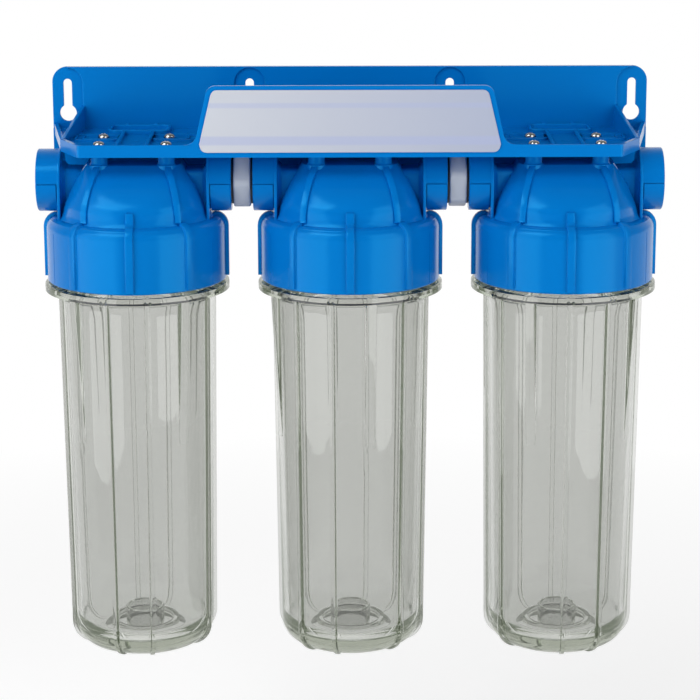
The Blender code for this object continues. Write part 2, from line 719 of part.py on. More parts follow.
def box(name, low, high):
    bm = bmesh.new()
    bmesh.ops.create_cube(bm, size=1.0)
    size = [b - a for a, b in zip(low, high)]
    bmesh.ops.scale(bm, vec=size, verts=bm.verts)
    bmesh.ops.translate(bm, vec=[(a + b) / 2 for a, b in zip(low, high)], verts=bm.verts)
    return helper(name, mesh_from(name, bm))


def keyhole(x):
    half = KEYHOLE_SLOT_WIDTH / 2
    rise = (KEYHOLE_RADIUS**2 - half**2) ** 0.5
    open_angle = 90 - atan2(rise, half) * 180 / pi
    hole = arc(x, KEYHOLE_HEIGHT, KEYHOLE_RADIUS, 90 + open_angle, 450 - open_angle, 9)
    return hole + arc(x, KEYHOLE_SLOT_TOP - half, half, 0, 180, 4)


def pad(side, x, opens_out):
    """The sunk arch round a keyhole. At the plate's ends it opens to the side."""
    centre = PLATE_TOP - PAD_RIM - PAD_HALF_WIDTH
    foot = SHELF_TOP
    inner = arc(x, centre, PAD_HALF_WIDTH, 180, 90 if opens_out else 0, 4 if opens_out else 8)
    outline = [(x - PAD_HALF_WIDTH, foot)] + inner
    if opens_out:
        outline.append((x, PLATE_TOP + OVERRUN))
        outline.append((x + PAD_HALF_WIDTH + OVERRUN, PLATE_TOP + OVERRUN))
        outline.append((x + PAD_HALF_WIDTH + OVERRUN, foot))
    else:
        outline.append((x + PAD_HALF_WIDTH, foot))
    outline = [(side * px, pz) for px, pz in outline]
    return panel("pad", [outline], PLATE_THICKNESS + OVERRUN, PLATE_THICKNESS - PAD_RECESS)


def shelf_outline():
    """The shelf seen from above, clockwise from the left end of the wall."""
    wall_half = KEYHOLE_END_X + PAD_HALF_WIDTH
    right = [
        (wall_half, 0.0),
        (SHELF_ELBOW_HALF, -SHELF_ELBOW_DEPTH),
        (SHELF_FRONT_HALF, -SHELF_DEPTH),
    ]
    left = [(-x, y) for x, y in reversed(right)]
    return right + left


def end_gusset(side):
    """The upright web from the wall plate to the elbow of the shelf's lip."""
    start = Vector((GUSSET_X, -PLATE_THICKNESS + OVERLAP))
    end = Vector((SHELF_ELBOW_HALF - LIP_THICKNESS / 2, -SHELF_ELBOW_DEPTH))
    run = end - start
    outline = [
        (0.0, SHELF_HEIGHT + OVERLAP / 2),
        (run.length, SHELF_HEIGHT + OVERLAP / 2),
        (run.length, LIP_TOP - CLEARANCE),
        (0.0, GUSSET_TOP),
    ]
    shape = upright(flat_shape("end_gusset", [outline], GUSSET_THICKNESS))
    place = Matrix.Translation((start.x, start.y, 0.0))
    shaped(shape, place @ Matrix.Rotation(atan2(run.y, run.x), 4, "Z"))
    if side < 0:
        shaped(shape, Matrix.Scale(-1.0, 4, (1.0, 0.0, 0.0)))
        shape.data.flip_normals()
    return shape


def shelf_relief(x):
    """The raised track and cross ribs above one head, with their ends up the wall plate."""
    base = SHELF_TOP - OVERLAP / 2
    top = SHELF_TOP + CROSS_RIB_HEIGHT
    corner = TRACK_CORNER
    outer = [(-TRACK_HALF_X, -TRACK_BACK), (TRACK_HALF_X, -TRACK_BACK)]
    outer += [(TRACK_HALF_X, -TRACK_FRONT), (-TRACK_HALF_X, -TRACK_FRONT)]
    inner = inset(outer, TRACK_WALL)
    rings = [
        rounded([(x + px, py, corner) for px, py in outer], 2),
        rounded([(x + px, py, corner - TRACK_WALL) for px, py in inner], 2),
    ]
    track_top = top + CLEARANCE
    track = flat_shape("track", rings, track_top - base)
    shaped(track, Matrix.Translation((0.0, 0.0, (track_top + base) / 2)))
    half = CROSS_RIB_WIDTH / 2
    ribs = [track]
    for middle in (x - CROSS_RIB_X, x + CROSS_RIB_X):
        low = (middle - half, -SHELF_DEPTH + LIP_THICKNESS - OVERLAP, base)
        high = (middle + half, -TRACK_FRONT + TRACK_WALL / 2, top)
        ribs.append(box("cross_rib", low, high))
        low = (middle - half, -TRACK_BACK - TRACK_WALL / 2, base)
        high = (middle + half, -PLATE_THICKNESS + OVERLAP, LIP_TOP)
        ribs.append(box("wall_rib", low, high))
    return ribs


def label_panel():
    lip_bottom = SHELF_HEIGHT - FRONT_LIP_DROP
    foot = PANEL_FOOT_HALF + 2 * PANEL_FILLET
    corners = [
        (-foot, lip_bottom, 0.0),
        (-foot, LIP_TOP, 0.0),
        (-PANEL_FOOT_HALF, LIP_TOP, PANEL_FILLET),
        (-PANEL_TOP_HALF, PANEL_TOP, PANEL_CORNER),
        (PANEL_TOP_HALF, PANEL_TOP, PANEL_CORNER),
        (PANEL_FOOT_HALF, LIP_TOP, PANEL_FILLET),
        (foot, LIP_TOP, 0.0),
        (foot, lip_bottom, 0.0),
    ]
    return panel("label_panel", [rounded(corners, 4)], SHELF_DEPTH, SHELF_DEPTH - LIP_THICKNESS)


def bracket_mesh():
    outline = shelf_outline()
    walls = inset(outline, LIP_THICKNESS)
    front_bottom = SHELF_HEIGHT - FRONT_LIP_DROP
    base = slab("tray", outline, front_bottom, LIP_TOP)
    pockets = [
        slab("upper_pocket", walls, SHELF_TOP, LIP_TOP + OVERRUN),
        slab("lower_pocket", walls, front_bottom - OVERRUN, SHELF_HEIGHT),
    ]
    combine(base, "DIFFERENCE", *pockets)
    wall_half = KEYHOLE_END_X + PAD_HALF_WIDTH
    side_bottom = SHELF_HEIGHT - SIDE_LIP_DROP
    reliefs = []
    for side in (-1, 1):
        near, far = side * (SHELF_FRONT_HALF + OVERLAP), side * (wall_half + OVERRUN)
        low = (min(near, far), -SHELF_ELBOW_DEPTH, front_bottom - OVERRUN)
        high = (max(near, far), OVERRUN, side_bottom)
        reliefs.append(box("side_lip_relief", low, high))
    combine(base, "DIFFERENCE", gathered("side_lip_reliefs", reliefs))
    plate_corners = [
        (-wall_half, PLATE_BOTTOM, PANEL_CORNER),
        (-wall_half, PLATE_TOP, PAD_HALF_WIDTH),
        (wall_half, PLATE_TOP, PAD_HALF_WIDTH),
        (wall_half, PLATE_BOTTOM, PANEL_CORNER),
    ]
    keyholes = [keyhole(x) for x in (-KEYHOLE_END_X, -KEYHOLE_MIDDLE_X, KEYHOLE_MIDDLE_X, KEYHOLE_END_X)]
    plate = panel("wall_plate", [rounded(plate_corners, 4), *keyholes], PLATE_THICKNESS, 0.0)
    pads = [pad(side, KEYHOLE_END_X, True) for side in (-1, 1)]
    pads += [pad(side, KEYHOLE_MIDDLE_X, False) for side in (-1, 1)]
    combine(plate, "DIFFERENCE", gathered("pads", pads))
    combine(base, "UNION", plate, label_panel(), end_gusset(-1), end_gusset(1))
    for x in AXES:
        combine(base, "UNION", *shelf_relief(x))
    holes = []
    hole_radius = round_hole(SCREW_RADIUS + CLEARANCE, HOLE_STEPS)
    for x in AXES:
        for sx, sy in SCREW_PLACES:
            hole = drum("hole", hole_radius, SHELF_HEIGHT - OVERRUN, SHELF_TOP + OVERRUN, HOLE_STEPS)
            hole.matrix_world = Matrix.Translation((x + sx, -AXIS_TO_WALL + sy, 0.0))
            holes.append(hole)
    combine(base, "DIFFERENCE", gathered("shelf_screw_holes", holes))
    return settled_mesh(base)


def label_mesh():
    corners = [
        (-LABEL_FOOT_HALF, LABEL_BOTTOM, LABEL_CORNER),
        (-LABEL_SIDE_HALF, LABEL_SIDE_HEIGHT, 0.0),
        (-LABEL_TOP_HALF, LABEL_TOP, LABEL_CORNER),
        (LABEL_TOP_HALF, LABEL_TOP, LABEL_CORNER),
        (LABEL_SIDE_HALF, LABEL_SIDE_HEIGHT, 0.0),
        (LABEL_FOOT_HALF, LABEL_BOTTOM, LABEL_CORNER),
    ]
    back = SHELF_DEPTH + CLEARANCE
    return settled_mesh(panel("label_skin", [rounded(corners, 4)], back + LABEL_THICKNESS, back))


def screw_mesh():
    """A pan-head screw whose origin is on its axis, under its head."""
    profile = (
        (0.0, SCREW_HEAD_HEIGHT),
        (SCREW_HEAD_RADIUS * 0.7, SCREW_HEAD_HEIGHT),
        (SCREW_HEAD_RADIUS, 0.0),
        (SCREW_RADIUS, 0.0),
        (SCREW_RADIUS, -SCREW_LENGTH + SCREW_RADIUS),
        (0.0, -SCREW_LENGTH),
    )
    return settled_mesh(lathe("pan_head_screw", profile, SCREW_STEPS))


def nipple_mesh(collar_width, turn):
    """A threaded nipple along X, with a hexagon collar at its middle."""
    half = collar_width / 2
    collar_profile = (
        (0.0, half),
        (NIPPLE_COLLAR_RADIUS - NIPPLE_COLLAR_CHAMFER, half),
        (NIPPLE_COLLAR_RADIUS, half - NIPPLE_COLLAR_CHAMFER / 2),
        (NIPPLE_COLLAR_RADIUS, -half + NIPPLE_COLLAR_CHAMFER / 2),
        (NIPPLE_COLLAR_RADIUS - NIPPLE_COLLAR_CHAMFER, -half),
        (0.0, -half),
    )
    collar = lathe("collar", collar_profile, 6)
    collar.matrix_world = Matrix.Rotation(turn, 4, "Z")
    end = half + GASKET_THICKNESS + 2 * CLEARANCE + NIPPLE_THREAD_LENGTH
    combine(collar, "UNION", drum("stub", NIPPLE_THREAD_RADIUS, -end, end, PORT_STEPS))
    bore = drum("nipple_bore", NIPPLE_BORE_RADIUS, -end - OVERRUN, end + OVERRUN, PIPE_STEPS)
    combine(collar, "DIFFERENCE", bore)
    mesh = settled_mesh(collar)
    mesh.transform(Matrix.Rotation(pi / 2, 4, "Y") @ collar.matrix_world)
    return mesh


def gasket_mesh():
    half = GASKET_THICKNESS / 2
    profile = (
        (GASKET_RADIUS, half),
        (GASKET_RADIUS, -half),
        (PORT_THREAD_RADIUS, -half),
        (PORT_THREAD_RADIUS, half),
    )
    mesh = settled_mesh(lathe("flat_gasket", profile, GASKET_STEPS, closed=True))
    mesh.transform(Matrix.Rotation(pi / 2, 4, "Y"))
    return mesh


def build_housings(blue, clear, rubber):
    head, sump, seal = head_mesh(), sump_mesh(), seal_mesh()
    for number, x in enumerate(AXES, 1):
        turn = SUMP_TURNS[(number - 1) % len(SUMP_TURNS)]
        piece(f"head_{number}", head, blue, (x, -AXIS_TO_WALL, 0.0))
        piece(f"sump_{number}", sump, clear, (x, -AXIS_TO_WALL, RIM), radians(turn))
        piece(f"sump_seal_{number}", seal, rubber, (x, -AXIS_TO_WALL, RIM))


def build_bracket(blue, paper, steel):
    piece("bracket", bracket_mesh(), blue)
    piece("label", label_mesh(), paper)
    screw = screw_mesh()
    under_head = SHELF_TOP + CLEARANCE
    for number, x in enumerate(AXES, 1):
        for corner, (sx, sy) in zip("abcd", SCREW_PLACES):
            place = (x + sx, -AXIS_TO_WALL + sy, under_head)
            piece(f"bracket_screw_{number}{corner}", screw, steel, place)


def build_links(nylon, rubber):
    """The nipples that pass the water from head to head, with their gaskets."""
    collar_width = PORT_FACE_GAP - 2 * GASKET_THICKNESS - 4 * CLEARANCE
    gasket = gasket_mesh()
    offset = (collar_width + GASKET_THICKNESS) / 2 + CLEARANCE
    for number, (left, right) in enumerate(zip(AXES, AXES[1:]), 1):
        middle = (left + right) / 2
        turn = radians(NIPPLE_TURNS[(number - 1) % len(NIPPLE_TURNS)])
        piece(f"nipple_{number}", nipple_mesh(collar_width, turn), nylon, (middle, -AXIS_TO_WALL, 0.0))
        for side, way in (("left", -1), ("right", 1)):
            place = (middle + way * offset, -AXIS_TO_WALL, 0.0)
            piece(f"nipple_gasket_{number}_{side}", gasket, rubber, place)


clear_scene()
PARTS = new_collection("whole_house_water_filter")
CUTTERS = new_collection("cutters")
BLUE = make_material("blue_polypropylene", (0.0, 0.14, 0.58), 0.28)
CLEAR = make_material("clear_plastic", (0.83, 0.86, 0.84), 0.06, transmission=1.0)
RUBBER = make_material("black_rubber", (0.02, 0.02, 0.02), 0.6)
PAPER = make_material("pale_label", (0.65, 0.67, 0.71), 0.45)
STEEL = make_material("plated_steel", (0.72, 0.72, 0.7), 0.2, metallic=1.0)
NYLON = make_material("pale_nylon", (0.5, 0.52, 0.56), 0.4)
build_housings(BLUE, CLEAR, RUBBER)
build_bracket(BLUE, PAPER, STEEL)
build_links(NYLON, RUBBER)
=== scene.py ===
"""Looks for the whole house water filter: studio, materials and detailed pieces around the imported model."""

from math import atan2, cos, hypot, pi, radians, sin, tau

import bmesh
import bpy
from bpy.props import FloatProperty, FloatVectorProperty, IntProperty, PointerProperty
from bpy.types import Operator, Panel, PropertyGroup
from mathutils import Matrix, Vector


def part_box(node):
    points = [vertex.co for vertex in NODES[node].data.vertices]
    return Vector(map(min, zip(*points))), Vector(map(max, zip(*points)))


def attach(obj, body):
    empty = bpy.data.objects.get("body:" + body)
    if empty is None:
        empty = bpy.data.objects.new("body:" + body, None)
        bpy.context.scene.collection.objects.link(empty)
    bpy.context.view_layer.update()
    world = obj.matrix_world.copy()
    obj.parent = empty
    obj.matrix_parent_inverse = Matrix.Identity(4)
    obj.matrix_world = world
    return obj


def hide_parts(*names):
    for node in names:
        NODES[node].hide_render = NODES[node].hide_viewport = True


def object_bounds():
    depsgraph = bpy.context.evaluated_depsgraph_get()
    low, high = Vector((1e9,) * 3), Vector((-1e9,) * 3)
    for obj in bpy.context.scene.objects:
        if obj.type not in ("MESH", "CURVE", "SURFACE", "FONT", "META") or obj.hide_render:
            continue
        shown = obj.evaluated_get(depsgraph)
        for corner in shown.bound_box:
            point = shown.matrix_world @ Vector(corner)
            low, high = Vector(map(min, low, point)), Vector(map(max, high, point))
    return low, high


bl_info = {
    "name": "Whole house water filter",
    "version": (1, 0, 0),
    "blender": (4, 5, 0),
    "location": "View3D > Sidebar > Water Filter",
    "description": "Builds the looks of a wall-hung water filter with three clear sumps",
    "category": "Object",
}

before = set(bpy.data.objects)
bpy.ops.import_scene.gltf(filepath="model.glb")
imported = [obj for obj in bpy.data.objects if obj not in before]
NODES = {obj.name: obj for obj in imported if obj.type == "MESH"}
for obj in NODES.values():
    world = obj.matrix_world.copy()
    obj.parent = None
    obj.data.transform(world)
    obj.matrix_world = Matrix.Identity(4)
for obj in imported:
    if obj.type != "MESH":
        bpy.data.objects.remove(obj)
CAD_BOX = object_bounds()

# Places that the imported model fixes, in metres
PITCH = 0.1355
AXIS_DEPTH = 0.062
RIM = -0.06285
PORT_AXIS = -RIM
HOUSINGS = {number: Vector(((number - 2) * PITCH, -AXIS_DEPTH, RIM)) for number in (1, 2, 3)}

# Bracket
SHELF_HEIGHT = 0.02115
SHELF_TOP = 0.02365
SHELF_DEPTH = AXIS_DEPTH + 0.036
SHELF_FRONT_HALF = PITCH + 0.0323
LIP_TOP = 0.02715
LIP_FOOT = SHELF_HEIGHT - 0.0017
ELBOW_X = PITCH + 0.0458
ELBOW_Y = -AXIS_DEPTH - 0.009
PLATE_TOP = 0.0639
PLATE_THICK = 0.004
PANEL_TOP = SHELF_HEIGHT + 0.0426
PANEL_TOP_HALF = 0.0873
PANEL_FOOT_HALF = 0.0958
KEYHOLE_END_X = PITCH + 0.0479
KEYHOLE_MID_X = 0.06504
PAD_HALF = 0.00995
WALL_HALF = KEYHOLE_END_X + PAD_HALF

# Head: heights above its rim
SKIRT_RADIUS = 0.0567
SKIRT_BORE = 0.0522
SHOULDER_HEIGHT = 0.0407
SHOULDER_DROP = 0.0072
SHOULDER_FOOT = SHOULDER_HEIGHT - SHOULDER_DROP
DOME_FOOT_RADIUS = 0.0498
SHOULDER_WIDTH = SKIRT_RADIUS - DOME_FOOT_RADIUS
DECK_HEIGHT = 0.075
DECK_HALF_X = 0.0296
DECK_HALF_Y = 0.0189
# Each row: share of the dome's height, share of the way in along X and Y, squareness
DOME_ROWS = (
    (0.0, 0.0, 0.0, 2.0),
    (0.08, 0.12, 0.055, 2.1),
    (0.283, 0.282, 0.097, 2.5),
    (0.475, 0.436, 0.236, 2.6),
    (0.638, 0.579, 0.414, 2.8),
    (0.796, 0.752, 0.657, 3.3),
    (0.904, 0.886, 0.861, 4.5),
    (1.0, 1.0, 1.0, 6.0),
)
# Shares of the dome's height at which its outside, its inside and its ribs are drawn
OUTER_SHARES = (1.0, 0.99, 0.975, 0.95, 0.925, 0.9, 0.86, 0.82, 0.78, 0.74, 0.7, 0.65, 0.6, 0.55)
OUTER_SHARES += (0.5, 0.45, 0.4, 0.35, 0.3, 0.25, 0.2, 0.15, 0.1, 0.06, 0.03, 0.01)
INNER_SHARES = (0.283, 0.45, 0.638, 0.78, 0.904)
DOME_RIB_SHARES = (0.02, 0.06, 0.13, 0.2, 0.28, 0.37, 0.46, 0.55, 0.64, 0.73, 0.82, 0.9, 0.96, 0.985)
DOME_WALL = 0.003
# Squareness of a plain circle
ROUND = 2.0
SKIRT_RIB_BEARINGS = (0, 39, 90, 141, 180, 219, 270, 321)
CLIMBING_BEARINGS = (0, 180)
MOULD_LINE_BEARINGS = (61, 299)
SCREW_X = 0.0209
SCREW_Y = 0.0159
SCREW_PLACES = {"a": (-1, -1), "b": (-1, 1), "c": (1, -1), "d": (1, 1)}

# Port: distances from the head's axis
PASSAGE_RADIUS = 0.0066
PORT_CORE_RADIUS = 0.0182
PORT_BACK = 0.047
PORT_EDGE = 0.0609

# Sump: bearings in degrees from its first rib, heights above the head's rim
SUMP_TURNS = {1: -19.0, 2: -43.5, 3: 0.5}
RIB_BEARINGS = (0, 30, 87, 123, 180, 210, 267, 303)
LUG_BEARINGS = (58.5, 151.5, 238.5, 331.5)
WALL_STEPS = 240
BODY_TOP_RADIUS = 0.048
BODY_FOOT_RADIUS = 0.0455
BODY_TOP = -0.013
BODY_FOOT = -0.227
BOTTOM_MIDDLE = 0.031
BOTTOM_REACH = 0.0145
BOTTOM_DROP = 0.0155
SUMP_FLOOR = -0.2324
FLANGE_UNDER = -0.00625
LUG_END = -0.1015

# Points nearer to each other than this are one point
NEAR = 0.00001

MIRROR = Matrix.Scale(-1.0, 4, (1.0, 0.0, 0.0))

# Stage: the camera's turn is in degrees
WHITE = (1.0, 1.0, 1.0, 1.0)
FLOOR_SIZE = 30.0
CAMERA_PLACE = (-0.002075, -1.57664, 0.25991)
CAMERA_TURN = (76.4315, 0.1106, -0.1684)
CAMERA_SHIFT = (-0.00427, -0.01237)
SENSOR_WIDTH = 36.0


class StudioSettings(PropertyGroup):
    key_power: FloatProperty(
        name="Key power", description="Power of the softbox at the left", default=7.0, unit="POWER"
    )
    fill_power: FloatProperty(
        name="Fill power", description="Power of the softbox at the right", default=6.2, unit="POWER"
    )
    top_power: FloatProperty(name="Top power", description="Power of the softbox above", default=5.5, unit="POWER")
    ambient: FloatProperty(name="Ambient", description="Brightness of the plain light all round", default=0.22, min=0.0)
    lens: FloatProperty(name="Lens", description="Focal length of the camera", default=124.87, unit="CAMERA")
    floor_gap: FloatProperty(
        name="Floor gap", description="Height of the filter above the floor", default=0.16, unit="LENGTH"
    )


class FinishSettings(PropertyGroup):
    blue: FloatVectorProperty(
        name="Blue plastic", description="Colour of the bracket and the heads",
        subtype="COLOR", default=(0.0005, 0.16, 0.53), min=0.0, max=1.0,
    )
    clear: FloatVectorProperty(
        name="Clear plastic", description="Tint of the sumps",
        subtype="COLOR", default=(0.71, 0.715, 0.7), min=0.0, max=1.0,
    )
    nylon: FloatVectorProperty(
        name="Pale nylon", description="Colour of the nipples between the heads",
        subtype="COLOR", default=(0.42, 0.46, 0.53), min=0.0, max=1.0,
    )


class PieceSettings(PropertyGroup):
    head_steps: IntProperty(name="Head steps", description="Faces round the head", default=96, min=24)
    edge: FloatProperty(
        name="Moulded edge", description="Rounding of the moulded edges", default=0.0004, unit="LENGTH"
    )
    sump_edge: FloatProperty(
        name="Sump edge", description="Rounding of the sump's ribs and their feet", default=0.0006, unit="LENGTH"
    )
    neck_pitch: FloatProperty(
        name="Neck pitch", description="Pitch of the thread on the sump's neck", default=0.006, unit="LENGTH"
    )
    port_pitch: FloatProperty(
        name="Port pitch", description="Pitch of the pipe thread in the ports", default=0.001814, unit="LENGTH"
    )


def deselect():
    if bpy.context.mode != "OBJECT":
        bpy.ops.object.mode_set(mode="OBJECT")
    bpy.ops.object.select_all(action="DESELECT")


def pick(piece):
    """Selects one piece alone."""
    deselect()
    bpy.context.view_layer.objects.active = piece
    piece.select_set(True)


def edit(piece, mode="VERT"):
    """Opens a piece in edit mode with nothing selected."""
    pick(piece)
    bpy.ops.object.mode_set(mode="EDIT")
    bpy.ops.mesh.select_mode(type=mode)
    bpy.ops.mesh.select_all(action="DESELECT")
    return bmesh.from_edit_mesh(piece.data)


def close_edit(piece, weld=0.000005, outwards=True):
    """Welds a piece, turns its faces outwards unless told not to, and leaves edit mode."""
    bpy.ops.mesh.select_all(action="SELECT")
    bpy.ops.mesh.remove_doubles(threshold=weld)
    if outwards:
        bpy.ops.mesh.normals_make_consistent(inside=False)
    bpy.ops.object.mode_set(mode="OBJECT")
    return piece


def welded(piece, **settings):
    """Opens a piece only to weld it."""
    edit(piece)
    return close_edit(piece, **settings)


def extrude(lift=0.0):
    """Extrudes the selected faces. Without a lift, the new ones are moved afterwards."""
    bpy.ops.mesh.extrude_region_move(TRANSFORM_OT_translate={"value": (0.0, 0.0, lift)})


def settle(piece, matrix=Matrix()):
    """Puts the piece's place in its mesh, so that its object sits at the origin."""
    piece.data.transform(matrix @ piece.matrix_world)
    piece.matrix_world = Matrix()
    return piece


def apply_modifier(piece, kind, **settings):
    pick(piece)
    step = piece.modifiers.new(kind.lower(), kind)
    for name, value in settings.items():
        setattr(step, name, value)
    bpy.ops.object.modifier_apply(modifier=step.name)
    return piece


def ease(piece, width, segments=2, angle=32.0):
    """Rounds every edge that is sharper than the angle."""
    settings = {"width": width, "segments": segments, "limit_method": "ANGLE"}
    return apply_modifier(piece, "BEVEL", angle_limit=radians(angle), use_clamp_overlap=True, **settings)


def smooth(piece, angle=32.0):
    pick(piece)
    bpy.ops.object.shade_smooth_by_angle(angle=radians(angle))
    return piece


def joined(name, pieces):
    pick(pieces[0])
    for piece in pieces:
        piece.select_set(True)
    bpy.ops.object.join()
    pieces[0].name = name
    return pieces[0]


def copied(piece, name, matrix):
    """A copy with its own mesh, moved in its mesh."""
    copy = piece.copy()
    copy.data = piece.data.copy()
    copy.name = name
    bpy.context.scene.collection.objects.link(copy)
    copy.data.transform(matrix)
    return copy


def drop(*pieces):
    for piece in pieces:
        bpy.data.objects.remove(piece, do_unlink=True)


def combine(base, operation, *others):
    for other in others:
        apply_modifier(base, "BOOLEAN", operation=operation, solver="EXACT", object=other)
        drop(other)
    return base


def dress(piece, body, finish, node=None):
    """Hangs a finished piece on its body, in place of its CAD node if it has one, and gives it its finish."""
    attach(piece, body)
    if node:
        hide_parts(node)
    piece.data.materials.append(MATERIALS[finish])


def spun(name, profile, steps, place=Matrix(), closed=False):
    """Draws a profile (radius, height) point by point and spins it about a place's upright axis."""
    points = [place @ Vector((radius, 0.0, height)) for radius, height in profile]
    deselect()
    bpy.ops.mesh.primitive_plane_add(size=0.001, location=points[0])
    piece = bpy.context.active_object
    piece.name = name
    edit(settle(piece))
    bpy.ops.mesh.select_all(action="SELECT")
    bpy.ops.mesh.merge(type="CENTER")
    for here, there in zip(points, points[1:]):
        bpy.ops.mesh.extrude_vertices_move(TRANSFORM_OT_translate={"value": there - here})
    if closed:
        mesh = bmesh.from_edit_mesh(piece.data)
        mesh.edges.new([vert for vert in mesh.verts if len(vert.link_edges) == 1])
        bmesh.update_edit_mesh(piece.data)
    bpy.ops.mesh.select_all(action="SELECT")
    axis = place.to_3x3() @ Vector((0.0, 0.0, 1.0))
    bpy.ops.mesh.spin(steps=steps, angle=tau, center=place.translation, axis=axis)
    return close_edit(piece)


def lofted(name, rings):
    """Extrudes a first ring from ring to ring. All rings have as many points, in the same order."""
    count = len(rings[0])
    deselect()
    bpy.ops.mesh.primitive_circle_add(vertices=count, radius=1.0, fill_type="NGON")
    piece = bpy.context.active_object
    piece.name = name
    for vert, point in zip(piece.data.vertices, rings[0]):
        vert.co = point
    bpy.ops.object.mode_set(mode="EDIT")
    for here, there in zip(rings, rings[1:]):
        extrude()
        mesh = bmesh.from_edit_mesh(piece.data)
        for vert in [vert for vert in mesh.verts if vert.select]:
            nearest = min(range(count), key=lambda i: (vert.co - here[i]).length_squared)
            vert.co = there[nearest]
        bmesh.update_edit_mesh(piece.data)
    return close_edit(piece)


def swept(name, outline, stations):
    """Extrudes an outline (x, y) through stations, each a matrix."""
    return lofted(name, [[station @ Vector((x, y, 0.0)) for x, y in outline] for station in stations])


def prism(name, outline, place, depth):
    """A flat outline, put in place by a matrix and extruded along the matrix's Z."""
    return lofted(name, [[place @ Vector((x, y, z)) for x, y in outline] for z in (0.0, depth)])


def bar(name, low, high):
    """A small straight bar between two corners."""
    (x0, x1), (y0, y1), (z0, z1) = (sorted(pair) for pair in zip(low, high))
    return lofted(name, [[Vector((x, y, z)) for x, y in ((x0, y0), (x1, y0), (x1, y1), (x0, y1))] for z in (z0, z1)])


def arc(radius_x, radius_y, first, last, steps, centre=(0.0, 0.0)):
    points = []
    for step in range(steps + 1):
        angle = radians(first + (last - first) * step / steps)
        points.append((centre[0] + radius_x * cos(angle), centre[1] + radius_y * sin(angle)))
    return points


def rounded(corners, steps=6):
    """A closed outline whose corners (x, y, radius) are rounded, whichever way they turn."""
    points = []
    for i, (x, y, radius) in enumerate(corners):
        here = Vector((x, y))
        if not radius:
            points.append((x, y))
            continue
        back = (Vector(corners[i - 1][:2]) - here).normalized()
        ahead = (Vector(corners[(i + 1) % len(corners)][:2]) - here).normalized()
        half = back.angle(ahead) / 2
        reach = radius / sin(half)
        centre = here + (back + ahead).normalized() * reach
        first, last = here + back * (reach * cos(half)), here + ahead * (reach * cos(half))
        start = atan2(first.y - centre.y, first.x - centre.x)
        sweep = atan2(last.y - centre.y, last.x - centre.x) - start
        sweep = (sweep + pi) % tau - pi
        for step in range(steps + 1):
            angle = start + sweep * step / steps
            points.append((centre.x + radius * cos(angle), centre.y + radius * sin(angle)))
    return points


def bearing_matrix(bearing):
    """Turns a shape that points to the front to a bearing in degrees, counted towards +X."""
    return Matrix.Rotation(radians(bearing), 4, "Z")


def lift_matrix(height):
    return Matrix.Translation((0.0, 0.0, height))


def lying(x, y, z):
    """Lays an upright shape along X at a place."""
    return Matrix.Translation((x, y, z)) @ Matrix.Rotation(pi / 2, 4, "Y")


def upright(depth):
    """Turns a flat outline (x, height) upright, facing the front, at a depth from the wall."""
    return Matrix(((1.0, 0.0, 0.0, 0.0), (0.0, 0.0, 1.0, -depth), (0.0, 1.0, 0.0, 0.0), (0.0, 0.0, 0.0, 1.0)))


def round_edges(piece, width, segments=2, inside=None):
    """Rounds sharp edges by a bevel that shrinks where neighbouring edges leave little room."""
    sharp, room, least = radians(30.0), 0.45, 0.12
    mesh = edit(piece, "EDGE")
    layers = mesh.edges.layers.float
    weight = layers.get("bevel_weight_edge") or layers.new("bevel_weight_edge")
    for edge in mesh.edges:
        if len(edge.link_faces) != 2 or edge.calc_face_angle(0.0) < sharp:
            continue
        if inside and not inside((edge.verts[0].co + edge.verts[1].co) / 2):
            continue
        near = [
            other.calc_length()
            for vert in edge.verts
            for other in vert.link_edges
            if other is not edge and set(other.link_faces) & set(edge.link_faces)
        ]
        share = room * min(near) / width
        if share > least:
            edge[weight] = min(1.0, share)
    bmesh.update_edit_mesh(piece.data)
    bpy.ops.object.mode_set(mode="OBJECT")
    settings = {"width": width, "segments": segments, "limit_method": "WEIGHT"}
    return apply_modifier(piece, "BEVEL", use_clamp_overlap=False, **settings)


def helical_ridge(name, radius, rise, start, end, pitch, steps, place=Matrix()):
    """A thread ridge on a round wall: a small closed wedge that climbs by the pitch at each turn."""
    count = int((end - start) / pitch * steps)
    wide, sunk, fade_steps = pitch * 0.42, 0.0002, steps * 0.25
    flat = wide * 0.25
    foot = radius - sunk * (1 if rise > 0 else -1)
    points = []
    for step in range(count + 1):
        angle = tau * step / steps
        height = start + pitch * step / steps
        fade = min(step, count - step) / fade_steps
        crest = radius + rise * min(fade, 1.0)
        section = ((foot, -wide), (crest, -flat), (crest, flat), (foot, wide))
        points += [place @ Vector((r * cos(angle), r * sin(angle), height + h)) for r, h in section]
    faces = []
    for row in range(0, 4 * count, 4):
        for i, j in ((0, 1), (1, 2), (2, 3), (3, 0)):
            faces.append((row + i, row + j, row + 4 + j, row + 4 + i))
    faces += [(3, 2, 1, 0), tuple(range(4 * count, 4 * count + 4))]
    mesh = bpy.data.meshes.new(name)
    mesh.from_pydata(points, [], faces)
    piece = bpy.data.objects.new(name, mesh)
    bpy.context.scene.collection.objects.link(piece)
    return welded(piece)


def reach_at(angle, half_x, half_y, squareness):
    """Distance from the middle to the outline of a round that squareness draws towards its corners."""
    power = abs(cos(angle) / half_x) ** squareness + abs(sin(angle) / half_y) ** squareness
    return power ** (-1 / squareness)


